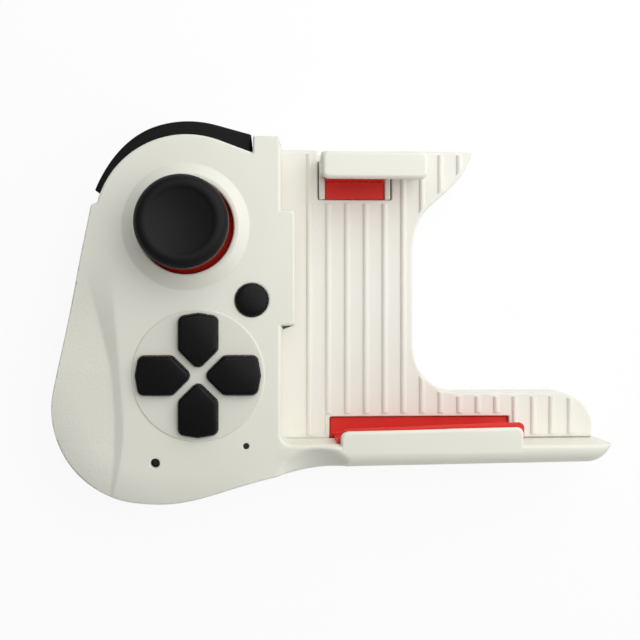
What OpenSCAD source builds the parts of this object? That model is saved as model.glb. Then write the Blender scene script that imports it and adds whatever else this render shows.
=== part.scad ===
// One-handed phone gamepad.
// A white grip carries a thumbstick, four arrow keys, a select button and a shoulder trigger.
// The ribbed cradle beside it holds a phone between a fixed lower jaw and a sprung upper jaw.
// Millimetres, lying on its flat back with the face up: X runs from the grip to the open end
// of the cradle, Y towards the trigger and Z out of the face.

/* [Grip] */
// Height of the grip's face above the flat back
face_z = 22; // [21:0.5:25]
// Wall thickness of the shells
wall = 2; // [1.6:0.1:2.2]
// Centre of the grip's upper end, X
crown_x = -34; // [-35:0.1:-33]
// Centre of the grip's upper end, Y
crown_y = 21.9; // [21:0.1:23]
// Radius of the grip's upper end
crown_r = 25; // [24:0.1:26]
// Centre of the grip's lower end, X
heel_x = -44; // [-45:0.1:-43]
// Centre of the grip's lower end, Y
heel_y = -22.3; // [-23.5:0.1:-21.5]
// Radius of the grip's lower end
heel_r = 23; // [22:0.1:24]
// Width of the rounding round the face
edge_w = 3.5; // [3:0.5:5]
// Depth of the rounding round the face
edge_d = 5; // [4:0.5:7]
// Rounding of the back's rim
back_round = 9; // [7:0.5:9]
// Depth of the shallow hollow down the outer side of the face
hollow_d = 0.8; // [0.4:0.1:1]
// Height of the raised ring round the thumbstick
collar_h = 1.5; // [1:0.1:2]
// Radius of the raised ring round the thumbstick
collar_r = 16.5; // [15.5:0.1:17.5]

/* [Cradle] */
// Height of the cradle's floor above the flat back
seat_z = 11; // [10.5:0.1:12]
// Thickness of the ribbed plate
plate_t = 2.5; // [2:0.1:3]
// Grip wall beside the phone, X
pocket_x = -12; // [-13:0.1:-11]
// Inner face of the lower rail, Y
foot_y = -30.6; // [-32:0.1:-29]
// Upper edge of the cradle, Y
cradle_top = 41.5; // [40.5:0.1:42.5]
// Right edge of the cradle's spine, X
spine_x = 21.1; // [20.6:0.1:23]
// Tip of the upper wing, X
wing_x = 36.3; // [33:0.1:38]
// Upper edge of the lower arm, Y
arm_y = -19.2; // [-20:0.1:-18]
// Right end of the lower arm, X
arm_x = 66.9; // [60:0.1:67]
// How far the lower rail's tip passes the arm
rail_past = 1.1; // [0.5:0.1:3]
// Height of the lower rail above the cradle's floor
rail_h = 12; // [11:0.5:13]
// Thickness of the lower rail at the grip
rail_w = 5.7; // [5:0.1:6.5]
// How much thinner the rail is at its tip
rail_taper = 1; // [0:0.1:1.5]
// Ribs on the plate
rib_count = 15; // [8:1:15]
// Spacing of the ribs
rib_pitch = 4.72; // [4:0.01:4.8]
// Width of a rib
rib_w = 1.7; // [1:0.1:2.2]
// Height of a rib
rib_h = 0.6; // [0.3:0.1:0.7]

/* [Jaws] */
// Height of both jaws above the cradle's floor
jaw_h = 13; // [12:0.5:14]
// Thickness of the jaws' lips
lip_t = 2.2; // [1.6:0.1:2.6]
// Left end of the lower lip, X
lip_x = 2.1; // [1.5:0.1:4]
// Length of the lower lip
lip_l = 44.1; // [40:0.1:46]
// How far the lower lip reaches over the phone
lip_reach = 3.6; // [3:0.1:4.5]
// Outer face of the closed upper jaw, Y
jaw_y = 39.1; // [38:0.1:40]
// Length of the upper jaw's lip
jaw_l = 25.2; // [22:0.1:27]
// Depth of the upper jaw's lip
jaw_d = 6.5; // [6:0.1:7]
// Thickness of the upper jaw's wall
jaw_t = 4.2; // [3.6:0.1:4.6]
// Width of the upper jaw's slide
slide_w = 18; // [16:0.1:18.4]
// Middle of the upper jaw's slide, X
slide_x = 6.5; // [6:0.1:7]
// Thickness of the tongue under the plate
tongue_t = 3; // [2.5:0.1:3.2]
// How far the upper jaw opens
jaw_travel = 22; // [15:0.5:24]
// Thickness of the rubber pads
pad_t = 1.2; // [0.8:0.1:1.4]

/* [Thumbstick] */
// Thumbstick axis, X
stick_x = -34.5; // [-35.5:0.1:-33.5]
// Thumbstick axis, Y
stick_y = 21.2; // [20:0.1:22]
// Radius of the hole round the thumbstick
hole_r = 11.35; // [11:0.05:12]
// Radius of the cap
cap_r = 10.65; // [9.5:0.05:11]
// Height of the cap's rim above the face
stick_rise = 13; // [12.5:0.1:15]
// Depth of the cap from its rim to its underside
cap_d = 6.5; // [5:0.1:7]
// Pivot's height above the main board
pivot_h = 4.6; // [4.4:0.1:5]
// Side of the square stick housing
base_w = 16; // [15:0.1:16.4]

/* [Keys] */
// Middle of the four arrow keys, X
pad_x = -31.6; // [-32.5:0.1:-31]
// Middle of the four arrow keys, Y
pad_y = -14; // [-15:0.1:-13]
// Width of an arrow key
key_w = 9.4; // [9:0.1:10]
// Outer end of an arrow key, from the middle
key_out = 14.6; // [13.5:0.1:14.8]
// Inner tip of an arrow key's outline, from the middle
key_in = 1.45; // [1.2:0.05:2]
// Height of the arrow keys above the face
key_rise = 2.3; // [1.8:0.1:3]
// Travel of the arrow keys and the select button
key_travel = 1.2; // [0.6:0.1:1.4]
// Select button, X
button_x = -19; // [-19.6:0.1:-18.8]
// Select button, Y
button_y = 3.8; // [3:0.1:4.5]
// Diameter of the select button
button_d = 7.7; // [7:0.1:8]
// Height of the select button above the face
button_rise = 1; // [0.6:0.1:1.6]
// Status light, X
light_x = -20.3; // [-21:0.1:-19.6]
// Status light, Y
light_y = -30.8; // [-31.2:0.1:-30]
// Diameter of the status light's hole
light_d = 1.4; // [1:0.1:2]
// Reset hole, X
reset_x = -41.7; // [-43:0.1:-40]
// Reset hole, Y
reset_y = -34.7; // [-35.2:0.1:-34]
// Diameter of the reset hole
reset_d = 2.2; // [1.6:0.1:2.6]

/* [Trigger] */
// Underside of the trigger
trig_z = 7; // [6.5:0.1:8]
// Height of the trigger
trig_h = 11.6; // [10.5:0.1:11.8]
// Width of the trigger that shows past the face
trig_show = 3.2; // [2.5:0.1:3.6]
// How far the trigger tucks under the face
trig_tuck = 1.3; // [1:0.1:1.6]
// Right end of the trigger's opening, X
trig_right = -18.7; // [-19.5:0.1:-18.5]
// Angle that the trigger turns when pressed
trig_turn = 2.5; // [1.5:0.1:2.5]

/* [Insides] */
// Thickness of the circuit boards
board_t = 1.2; // [1:0.1:1.6]
// Main board above the floor
board_gap = 0.8; // [0.6:0.1:1]
// Length of the battery
cell_l = 28; // [24:0.5:30]
// Width of the battery
cell_w = 20; // [16:0.5:21]
// Thickness of the battery
cell_t = 6; // [4:0.5:7]
// Depth of the key board below the inside of the face
key_depth = 6.6; // [6.2:0.1:7]
// Radius of the coil of the jaw's springs
coil_r = 0.9; // [0.6:0.05:0.95]
// Wire radius of the springs
wire_r = 0.2; // [0.15:0.01:0.25]
// Turns in each of the jaw's springs
coil_turns = 12; // [8:1:14]

/* [Fasteners] */
// Radius of the shell screws' shanks
screw_r = 1; // [0.8:0.1:1.2]
// Radius of the shell screws' heads
head_r = 2.2; // [1.8:0.1:2.4]
// Height of the shell screws' heads
head_h = 1.6; // [1.2:0.1:1.8]
// Radius of the small screws' shanks
small_r = 0.8; // [0.6:0.1:0.9]
// Radius of the small screws' heads
small_head_r = 1.6; // [1.4:0.1:1.8]
// Height of the small screws' heads
small_head_h = 1.1; // [0.8:0.1:1.2]
// Radius of the trigger's hinge pin
pin_r = 1; // [0.8:0.05:1.2]

/* [Fits] */
// Gap round parts that slide
slide_gap = 0.3; // [0.2:0.05:0.4]
// Gap round the keys and the button
key_gap = 0.25; // [0.2:0.05:0.35]
// Radial gap of a pin in its bore
run_gap = 0.05; // [0.03:0.01:0.08]

/* [Hidden] */
$fn = 48;
over = 1;
far = 60;
white = "#ece9e0";
black = "#1a1b1e";
red = "#c0211c";
green = "#1e5b3a";
steel = "#b9bcc0";

// Heights
ceiling_z = face_z - wall;
plate_z = seat_z - plate_t;
rail_z = seat_z + rail_h;
rail_tip = arm_x + rail_past;
lip_z = seat_z + jaw_h;
board_z = wall + board_gap;
base_z = board_z + board_t;
pivot_z = base_z + pivot_h;
cap_z = face_z + stick_rise;
flange_t = 1.2;
flange_z = ceiling_z - slide_gap - flange_t;
key_board_z = ceiling_z - key_depth;
key_top_z = face_z + key_rise;
mat_z = key_board_z + board_t;
mat_t = 0.8;
dome_top_z = flange_z - key_gap / 2;
tongue_z = plate_z - slide_gap - tongue_t;
trig_top = trig_z + trig_h;
head_seat = 3;
plate_head_seat = small_head_h + 0.3;

// Plan of the grip
crown = [crown_x, crown_y];
heel = [heel_x, heel_y];
stick = [stick_x, stick_y];
pad = [pad_x, pad_y];
button = [button_x, button_y];
shoulder_a = 75;
trig_taper = 1.1;
side_a = atan2(crown_y - heel_y, crown_x - heel_x)
    + acos((heel_r - crown_r + trig_taper) / norm(crown - heel));
hip_a = 262;
hip_run = 18;
waist_run = 30;
waist_drop = 3;
join_x = pocket_x + 16;
past_x = join_x + 14;
block_y = cradle_top + 2;
block_step = 0.3;
rail_out = foot_y - rail_w;
pocket_r = 2.5;
scoop_r = 10;
scoop = [pocket_x + 8.5, rail_out - 4.7, face_z + 4];
tab_x = pocket_x + 3.2;
tab_y = -2.3;
tab_l = 27.5;
tab_t = 2.5;
hollow_r = 40;
hollow_lean = -1.4;
hollow_dive = 0.8;
hollow_in = 7;

// Plan of the cradle
arm_r = arm_y - foot_y - 2.6;
notch_r = 12;
wing_rise = 13;
wing_foot = 17;
plate_x = pocket_x - wall + 0.2;
slot_y = 29.2;
window_x = lip_x - 1.9;
window_l = lip_l + 1.3;
window_w = lip_reach + 1.9;
rib_x = pocket_x + 6.3;
rib_edge = 1;
tip_run = 5.6;
rail_round = 3.5;
lip_skew = 0.45;

// Slide of the upper jaw
slide_l = slide_x - slide_w / 2;
slide_r = slide_x + slide_w / 2;
jaw_x = slide_l + 0.1;
tongue_end = -4;
spring_xs = [slide_x - 5, slide_x + 5];
post_y = tongue_end + 1.5;
anchor_y = post_y - 23.5;
post_r = 0.9;
rest_gap = 0.05;
spring_z = wall + 0.6 + coil_r + wire_r;

// Trigger
roof_r = crown_r - trig_show;
roof_a = 70;
trig_left_a = 160;
flare_a = 163.5;
roof_lean = 0.7;
roof_c = crown - roof_lean * [cos(shoulder_a), sin(shoulder_a)];
void_left_a = 166;
trig_in = roof_r - trig_tuck;
void_in = trig_in - 3;
hinge_r = 20.2;
hinge_a = 163;
hinge = crown + hinge_r * [cos(hinge_a), sin(hinge_a)];
knuckle_r = 2.3;
knuckle_z = trig_z + 0.9;
knuckle_h = 7.2;
trig_end = trig_right - 0.65;
finger_x = crown_x + 7;
finger_w = 3;
switch_tip_y = crown_y + 15.2;
finger_y = switch_tip_y + 0.95;

// Thumbstick
dome_t = 1.2;
dome_r = norm([hole_r, ceiling_z - pivot_z]) - 1.1;
dome_rim = dome_r * cos(68);
base_h = 7;
base_t = 0.8;
trunnion_r = 1.2;
cross_r = 1;
stem_r = 0.95;
shaft_r = 1.5;
click_travel = 0.4;
bail_r = 5.8;
bail_t = 1;
bail_w = 5.8;
frame_w = 8.6;
frame_in = 6;
frame_h = 3.2;
neck_r = 3.6;

// Screw places
post_w = 2.9;
shell_screws_at = [
    [heel_x - 13.5, heel_y + 9.3],
    [heel_x - 3.2, heel_y - 16.1],
    [pocket_x - wall - post_w + 0.5, foot_y - 4.2],
    [pocket_x - 4.2, block_y - 4.6],
    [crown_x - 19.8, crown_y - 11.9]
];
plate_screws_at = [
    [pocket_x + 4.5, cradle_top - 4.5],
    [wing_x - 9.6, cradle_top - 5],
    [pocket_x + 4.5, foot_y + 8.6],
    [arm_x - 10.3, arm_y - 5.3]
];
boss_r = 2.3;
key_screws_at = [[pad_x - 19.9, pad_y - 8], [pad_x + 14.6, pad_y - 10.5], [pad_x - 20.4, pad_y + 11]];
main_screws_at = [[stick_x - 13, stick_y - 13], [stick_x + 13, stick_y - 13], [stick_x - 5, stick_y - 27]];
small_post_r = 2.2;

// Boards, charging socket and trigger switch
main_r = 16.5;
main_l = 30.2;
key_board_l = 22.4;
key_board_up = 15;
socket_w = 7.6;
socket_h = 2.9;
socket_l = 7.2;
socket_z = key_board_z - socket_h;
charge_x = pad_x + 2.1;
charge_y = reset_y + 0.3 - socket_l;
switch_w = 5;

// Points and outlines
function unit(v) = v / norm(v);
function flat(l) = [for (a = l) for (b = a) b];
function polar(c, r, a) = c + r * [cos(a), sin(a)];
function arc(c, r, a0, a1, n) = [for (i = [0:n]) polar(c, r, a0 + (a1 - a0) * i / n)];
function bezier(p, n) = [
    for (i = [1:n])
        let (t = i / n, s = 1 - t)
        s * s * s * p[0] + 3 * s * s * t * p[1] + 3 * s * t * t * p[2] + t * t * t * p[3]
];

// Where the tangent at angle a of a circle reaches x
function past_tangent(c, r, a, x) = let (p = polar(c, r, a)) [x, p[1] - (x - p[0]) / tan(a)];

// One corner of a polygon with its arc
function corner(a, p, b, r, n) =
    r == 0 ? [p] :
    let (
        u = unit(a - p),
        w = unit(b - p),
        half = acos(u * w) / 2,
        c = p + unit(u + w) * r / sin(half),
        s = p + u * r / tan(half) - c,
        e = p + w * r / tan(half) - c,
        a0 = atan2(s[1], s[0]),
        sweep = (atan2(e[1], e[0]) - a0 + 540) % 360 - 180
    )
    arc(c, r, a0, a0 + sweep, n);
function rounded(p, r, n = 6) =
    let (m = len(p))
    flat([for (i = [0:m - 1]) corner(p[(i + m - 1) % m], p[i], p[(i + 1) % m], r[i], n)]);

// A closed outline moved in by d, with true corners
function inset(p, d) =
    let (n = len(p))
    [
        for (i = [0:n - 1])
            let (
                u = unit(p[i] - p[(i + n - 1) % n]),
                w = unit(p[(i + 1) % n] - p[i]),
                nu = [u[1], -u[0]],
                nw = [w[1], -w[0]]
            )
            p[i] - d * (nu + nw) / (1 + nu * nw)
    ];
function at_z(p, z) = [for (q = p) [q[0], q[1], z]];

// Skin through rings of equal count, closed at both ends by fans
module loft(rings, hubs) {
    n = len(rings[0]);
    m = len(rings);
    last = (m - 1) * n;
    sides = [
        for (k = [0:m - 2])
            for (i = [0:n - 1])
                let (j = (i + 1) % n, lo = k * n, hi = lo + n)
                each [[lo + i, hi + i, hi + j], [lo + i, hi + j, lo + j]]
    ];
    first_cap = [for (i = [0:n - 1]) [m * n, i, (i + 1) % n]];
    last_cap = [for (i = [0:n - 1]) [m * n + 1, last + (i + 1) % n, last + i]];
    polyhedron(concat(flat(rings), hubs), concat(sides, first_cap, last_cap), convexity = 6);
}

// Upper end of the grip, drawn in by the taper towards its outer side
function crown_edge(from, to, steps) = [
    for (i = [0:steps])
        let (
            a = from + (to - from) * i / steps,
            t = min(1, max(0, (a - 108) / 45))
        )
        polar(crown, crown_r - trig_taper * t * t * (3 - 2 * t), a)
];

grip_outline = concat(
    [[past_x, cradle_top], [pocket_x + block_step, cradle_top], [pocket_x, block_y]],
    [past_tangent(crown, crown_r, shoulder_a, trig_right)],
    crown_edge(shoulder_a, side_a, 18),
    arc(heel, heel_r, side_a, hip_a, 18),
    bezier([
        polar(heel, heel_r, hip_a),
        polar(heel, heel_r, hip_a) + hip_run * [-sin(hip_a), cos(hip_a)],
        [join_x - waist_run, rail_out - waist_drop],
        [join_x, rail_out]
    ], 12),
    [[past_x, rail_out]]
);
grip_hub = (crown + heel) / 2;

function cradle_outline(left) = concat(
    [[left, foot_y], [arm_x, foot_y]],
    arc([arm_x - arm_r, arm_y - arm_r], arm_r, 0, 90, 8),
    arc([spine_x + notch_r, arm_y + notch_r], notch_r, 270, 180, 8),
    [[spine_x, wing_foot]],
    bezier([
        [spine_x, wing_foot],
        [spine_x, wing_foot + wing_rise],
        [wing_x - 3.6, cradle_top - 12.5],
        [wing_x, cradle_top]
    ], 10),
    [[left, cradle_top]]
);

// Half of the grip's body: rings from the parting face to the flat, d in from the outline
module half_body(d, depth, round_w, round_d, end_x, steps = 6) {
    rings = concat(
        [at_z(inset(grip_outline, d), -over * (d > 0 ? 1 : 0))],
        [
            for (k = [0:steps])
                let (t = 90 * k / steps)
                at_z(
                    inset(grip_outline, d + round_w * (1 - cos(t))),
                    depth - round_d + round_d * sin(t)
                )
        ]
    );
    intersection() {
        loft(rings, [concat(grip_hub, rings[0][0][2]), concat(grip_hub, depth)]);
        box([-2 * far, -2 * far, -far], [end_x, 2 * far, far]);
    }
}

// The lower rail above the parting face, thinning to a rounded tip
module rail(h, start_h) {
    x1 = rail_tip - tip_run;
    function width(x) = rail_w - rail_taper * (x - pocket_x) / (rail_tip - pocket_x);
    function profile(x, h, s) =
        let (w = width(x))
        [
            for (q = concat(
                [[-w, 0], [0, 0], [-0.4, h - 0.8], [-1, h]],
                arc([rail_round - w, h - rail_round], rail_round, 90, 180, 5)
            ))
            [x, foot_y + q[0] * s, q[1] * (0.86 + 0.14 * s)]
        ];
    rings = concat(
        [profile(pocket_x - over, start_h, 1), profile(lip_x - over, h, 1)],
        [for (i = [0:5]) profile(x1 + tip_run * sin(i * 17), h, cos(i * 17))]
    );
    tip = rings[len(rings) - 1];
    loft(rings, [
        [rings[0][0][0], foot_y - rail_w / 2, start_h / 2],
        (tip[0] + tip[2]) / 2
    ]);
}

module plan(p, z0, z1) {
    translate([0, 0, z0]) linear_extrude(z1 - z0) polygon(p);
}

module rod(at, r, z0, z1) {
    translate([at[0], at[1], z0]) cylinder(r = r, h = z1 - z0);
}

module box(lo, hi) {
    translate(lo) cube(hi - lo);
}

// Room for the trigger: outside the edge of the face, and under the face behind it
module trigger_void() {
    outside = concat(
        arc(roof_c, roof_r, flare_a, roof_a, 14),
        [
            past_tangent(roof_c, roof_r, roof_a, trig_right),
            [trig_right, crown_y + far],
            [crown_x - far, crown_y + far],
            polar(roof_c, roof_r, flare_a) - far * [cos(45), sin(45)]
        ]
    );
    inside = concat(
        arc(roof_c, void_in, void_left_a, roof_a, 14),
        [
            past_tangent(roof_c, void_in, roof_a, trig_right),
            past_tangent(roof_c, roof_r + over, roof_a, trig_right)
        ],
        arc(roof_c, roof_r + over, roof_a, void_left_a, 14)
    );
    plan(outside, trig_z - slide_gap, face_z + far);
    plan(inside, trig_z - slide_gap, trig_top + slide_gap);
}

// Outline of an arrow key that points along +X, grown by g
function key_outline(g) =
    let (tip = key_in - sqrt(2) * g, half = key_w / 2 + g, out = key_out + g)
    rounded(
        [
            [tip, 0], [tip + half, -half], [out - 0.5, -half],
            [out + 0.3, 0], [out - 0.5, half], [tip + half, half]
        ],
        [1.5 + g, 1.5 + g, 2.2 + g, 12, 2.2 + g, 1.5 + g]
    );

module socket_hole(grow) {
    box(
        [charge_x - socket_w / 2 - grow, rail_out - far, socket_z - grow],
        [charge_x + socket_w / 2 + grow, charge_y + socket_l - 2, key_board_z + grow]
    );
}

// Casings

module front_shell() color(white)
difference() {
    union() {
        difference() {
            union() {
                difference() {
                    translate([0, 0, seat_z]) half_body(0, face_z - seat_z, edge_w, edge_d, join_x);
                    plan(
                        rounded(
                            [[pocket_x, foot_y], [far, foot_y], [far, far], [pocket_x, far]],
                            [pocket_r, 0, 0, 0]
                        ),
                        seat_z - over, face_z + over
                    );
                }
                translate([0, 0, seat_z]) rail(rail_h, face_z - seat_z - 0.5);
                plan(
                    rounded(
                        [
                            [lip_x, foot_y - 3],
                            [lip_x + lip_l, foot_y - 3],
                            [lip_x + lip_l, foot_y + lip_reach + lip_skew],
                            [lip_x, foot_y + lip_reach - lip_skew]
                        ],
                        [0, 0, 2, 2]
                    ),
                    lip_z - lip_t, lip_z
                );
                box([pocket_x - over, tab_y, face_z - tab_t], [tab_x, tab_y + tab_l, face_z]);
                translate([stick_x, stick_y, 0]) rotate_extrude() polygon([
                    [hole_r - over, ceiling_z],
                    [collar_r, ceiling_z],
                    [collar_r, face_z],
                    [collar_r - 2, face_z + collar_h],
                    [hole_r + 0.9, face_z + collar_h],
                    [hole_r - over, face_z + collar_h - 0.9 - over]
                ]);
                translate([pad_x, pad_y, face_z - over])
                    cylinder(r1 = key_out + 1.6, r2 = key_out + 0.3, h = over + 0.6);
            }
            translate([0, 0, seat_z])
                half_body(wall, ceiling_z - seat_z, edge_w - 1, edge_d - 1, pocket_x - wall);
            box(
                [lip_x, foot_y - rail_w + rail_taper + 1.2, seat_z - over],
                [rail_tip - tip_run - wall, foot_y - 1.8, rail_z - 3]
            );
        }
        intersection() {
            for (s = shell_screws_at) rod(s, post_w, seat_z, ceiling_z + wall / 2);
            translate([0, 0, seat_z]) half_body(0, face_z - seat_z, edge_w, edge_d, pocket_x);
        }
        for (s = key_screws_at) rod(s, small_post_r, mat_z, ceiling_z + wall / 2);
        rod(hinge, knuckle_r, knuckle_z + knuckle_h + 2.9, ceiling_z + wall / 4);
    }
    rod(stick, hole_r, seat_z, face_z + far);
    for (a = [0:90:270])
        translate([pad_x, pad_y, 0]) rotate([0, 0, a])
            plan(key_outline(key_gap), ceiling_z - over, face_z + far);
    rod(button, button_d / 2 + key_gap, ceiling_z - over, face_z + far);
    rod([light_x, light_y], light_d / 2, ceiling_z - over, face_z + over);
    rod([reset_x, reset_y], reset_d / 2, ceiling_z - over, face_z + over);
    for (s = shell_screws_at) rod(s, screw_r, seat_z - over, ceiling_z - wall);
    for (s = key_screws_at) rod(s, small_r, mat_z - over, ceiling_z - 0.6);
    rod(hinge, pin_r, seat_z, ceiling_z - 0.4);
    trigger_void();
    socket_hole(0.5);
    translate(scoop) sphere(r = scoop_r);
    translate([pocket_x - 38.6 - hollow_in, heel_y, face_z + hollow_r - hollow_d])
        rotate([90 + hollow_dive, 0, hollow_lean])
        cylinder(r = hollow_r, h = 3 * far, center = true);
}

module rear_shell() color(white)
difference() {
    union() {
        difference() {
            union() {
                translate([0, 0, seat_z]) mirror([0, 0, 1])
                    half_body(0, seat_z, back_round, back_round, join_x);
                plan(cradle_outline(join_x - back_round - 3), 0, plate_z);
                translate([0, 0, seat_z]) mirror([0, 0, 1]) rail(seat_z, seat_z);
            }
            translate([0, 0, seat_z]) mirror([0, 0, 1])
                half_body(wall, seat_z - wall, back_round - wall, back_round - wall, join_x - wall);
            plan(inset(cradle_outline(join_x - back_round - 3), wall), wall, seat_z);
            plan(inset(cradle_outline(plate_x), -0.1), plate_z, seat_z + over);
        }
        intersection() {
            union() {
                for (s = shell_screws_at) rod(s, post_w + 0.4, wall / 2, seat_z);
                rod(hinge, knuckle_r + 0.3, wall / 2, knuckle_z - slide_gap);
            }
            difference() {
                translate([0, 0, seat_z]) mirror([0, 0, 1])
                    half_body(0, seat_z, back_round, back_round, join_x);
                plan(inset(cradle_outline(plate_x), -0.1), plate_z, seat_z + over);
            }
        }
        for (s = main_screws_at) rod(s, small_post_r, wall / 2, board_z);
        for (x = [slide_l - slide_gap - 1.6, slide_r + slide_gap])
            box([x, tongue_end - 4, wall / 2], [x + 1.6, cradle_top - wall / 2, plate_z]);
        box(
            [slide_x - 0.8, tongue_end - 2, wall / 2],
            [slide_x + 0.8, cradle_top - wall / 2, tongue_z - slide_gap]
        );
        for (x = spring_xs) rod([x, anchor_y], post_r, wall / 2, plate_z - 2);
        box([window_x, foot_y - over, plate_z - 1.5], [window_x + window_l, foot_y + window_w, plate_z]);
    }
    for (s = shell_screws_at) {
        rod(s, head_r + 0.2, -over, head_seat);
        rod(s, screw_r + 0.15, 0, seat_z + over);
    }
    for (s = plate_screws_at) {
        rod(s, small_head_r + 0.2, -over, plate_head_seat);
        rod(s, small_r + 0.15, 0, wall + over);
        rod(s, boss_r + 0.1, wall, plate_z + over);
    }
    for (s = main_screws_at) rod(s, small_r, wall / 2 + 0.6, board_z + over);
    rod(hinge, pin_r, wall, seat_z);
    trigger_void();
    socket_hole(0.5);
    box(
        [slide_l - slide_gap, cradle_top - wall - over, tongue_z - slide_gap],
        [slide_r + slide_gap, cradle_top + over, seat_z + over]
    );
}

module cradle_plate() color(white)
difference() {
    union() {
        plan(cradle_outline(plate_x), plate_z, seat_z);
        difference() {
            intersection() {
                plan(inset(cradle_outline(plate_x), rib_edge), plate_z + over, seat_z + rib_h);
                for (k = [0:rib_count - 1])
                    box(
                        [rib_x + k * rib_pitch, foot_y, plate_z],
                        [rib_x + k * rib_pitch + rib_w, cradle_top, seat_z + far]
                    );
            }
            box(
                [window_x - rib_edge, foot_y - over, seat_z],
                [window_x + window_l + rib_edge, foot_y + window_w + rib_edge, seat_z + over]
            );
            box(
                [slide_l - 2 * rib_edge, slot_y - rib_edge, seat_z],
                [slide_r + rib_edge, cradle_top, seat_z + over]
            );
        }
        for (s = plate_screws_at) rod(s, boss_r, wall, plate_z + over);
    }
    box([slide_l - slide_gap, slot_y, 0], [slide_r + slide_gap, cradle_top + over, far]);
    box([window_x, foot_y - over, plate_z - over], [window_x + window_l, foot_y + window_w, far]);
    plan(
        [
            [pocket_x + 0.3, tab_y + over],
            [pocket_x + 0.3, tab_y - 1],
            [tab_x - 0.2, tab_y],
            [tab_x - 0.2, tab_y + tab_l - over],
            [pocket_x + 0.3, tab_y + tab_l - over]
        ],
        plate_z - over, far
    );
    for (s = plate_screws_at) rod(s, small_r, wall - over, seat_z - 1);
}

// Fasteners

module screw(at, z, r, length, hr, hh, up) {
    translate([at[0], at[1], z]) rotate([up ? 0 : 180, 0, 0]) difference() {
        union() {
            cylinder(r = r, h = length);
            translate([0, 0, -hh]) cylinder(r = hr, h = hh);
        }
        translate([0, 0, -hh - over]) cylinder(r = hr * 0.5, h = over + hh * 0.6, $fn = 6);
    }
}

module shell_screws() color(steel)
    for (s = shell_screws_at)
        screw(s, head_seat, screw_r, ceiling_z - wall - over - head_seat, head_r, head_h, true);

module plate_screws() color(steel)
    for (s = plate_screws_at)
        screw(s, plate_head_seat, small_r, seat_z - 1.5 - plate_head_seat, small_head_r, small_head_h, true);

module board_screws() color(steel) {
    for (s = key_screws_at)
        screw(s, key_board_z, small_r, ceiling_z - over - key_board_z, small_head_r, small_head_h, true);
    for (s = main_screws_at)
        screw(s, base_z, small_r, base_z - wall / 2 - 0.8, small_head_r, small_head_h, false);
}

// Boards and battery

module main_board() color(green)
difference() {
    union() {
        rod(stick, main_r, board_z, base_z);
        box([stick_x - main_r + 1, stick_y - main_l, board_z], [stick_x + main_r, stick_y, base_z]);
        box(
            [finger_x - switch_w / 2 - 1, stick_y, board_z],
            [finger_x + switch_w / 2 + 1, switch_tip_y - 0.4, base_z]
        );
    }
    for (s = main_screws_at) rod(s, small_r + 0.1, 0, far);
}

module key_board() color(green)
difference() {
    right = pocket_x - wall - 0.6;
    low = reset_y - 2.5;
    plan(
        [
            [pad_x - key_board_l, low],
            [light_x - 3.2, low],
            [right, light_y + 2.3],
            [right, button_y + 5.2],
            [button_x - 6, button_y + 5.2],
            [button_x - 6, pad_y + key_board_up],
            [pad_x - key_board_l, pad_y + key_board_up]
        ],
        key_board_z, mat_z
    );
    rod(shell_screws_at[1], post_w + 0.5, 0, far);
    for (s = key_screws_at) rod(s, small_r + 0.1, 0, far);
}

module battery() color("#c8ccd2")
translate([pad_x - 6.4 - cell_l / 2, pad_y - 7 - cell_w / 2, wall]) {
    linear_extrude(cell_t) polygon(rounded(
        [[0, 0], [cell_l, 0], [cell_l, cell_w], [0, cell_w]],
        [1.5, 1.5, 1.5, 1.5]
    ));
}

// Flat cable that joins the two boards
module flex_cable() color("#c77b2b")
translate([stick_x + 6, 0, 0]) rotate([90, 0, 90]) linear_extrude(8) {
    y = stick_y - 27.2;
    t = 0.25;
    leg = 3;
    polygon([
        [y - leg, base_z], [y, base_z], [y, key_board_z], [y - leg, key_board_z],
        [y - leg, key_board_z - t], [y - t, key_board_z - t], [y - t, base_z + t], [y - leg, base_z + t]
    ]);
}

module charge_socket() color(steel)
translate([charge_x, charge_y, socket_z]) {
    t = 0.35;
    half = socket_w / 2;
    union() {
        difference() {
            box([-half, 0, 0], [half, socket_l, socket_h]);
            box([t - half, -over, t], [half - t, socket_l - t, socket_h - t]);
        }
        box([1.2 - half, 1, socket_h / 2 - 0.3], [half - 1.2, socket_l, socket_h / 2 + 0.3]);
    }
}

module reset_switch() color(black)
translate([reset_x, reset_y, mat_z]) union() {
    box([-2.25, -2.25, 0], [2.25, 2.25, 3.2]);
    cylinder(r = 0.9, h = ceiling_z - mat_z - 0.6);
}

module status_led() color("#d8e8d8")
translate([light_x, light_y, mat_z]) box([-0.8, -0.4, 0], [0.8, 0.4, 0.6]);

module light_pipe() color("#3a3d40") {
    rod([light_x, light_y], light_d / 2, mat_z + 0.8, face_z - 0.1);
    rod([light_x, light_y], light_d / 2 + 0.9, ceiling_z - 1, ceiling_z);
}

// Thumbstick

module at_pivot() {
    translate([stick_x, stick_y, pivot_z]) children();
}

module across_x(r, h) {
    rotate([0, 90, 0]) cylinder(r = r, h = h, center = true);
}

module across_y(r, h) {
    rotate([90, 0, 0]) cylinder(r = r, h = h, center = true);
}

module stick_base() color(steel)
at_pivot() difference() {
    half = base_w / 2;
    box([-half, -half, -pivot_h], [half, half, base_h - pivot_h]);
    box([base_t - half, base_t - half, base_t - pivot_h], [half - base_t, half - base_t, base_h]);
    across_x(trunnion_r + run_gap, base_w + 2);
    across_y(trunnion_r + run_gap, base_w + 2);
}

// Sensor housings on two sides of the stick's base
module stick_sensors() color("#2b5aa0")
at_pivot() {
    half = base_w / 2;
    box([-half - 4, -4.6, -pivot_h], [-half - 1.2, 4.6, 2.4]);
    box([-4.6, -half - 4, -pivot_h], [4.6, -half - 1.2, 2.4]);
    for (a = [180, 270])
        rotate([0, 0, a]) box([half, -3, -pivot_h], [half + 1.2, 3, -trunnion_r - 1]);
}

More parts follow.
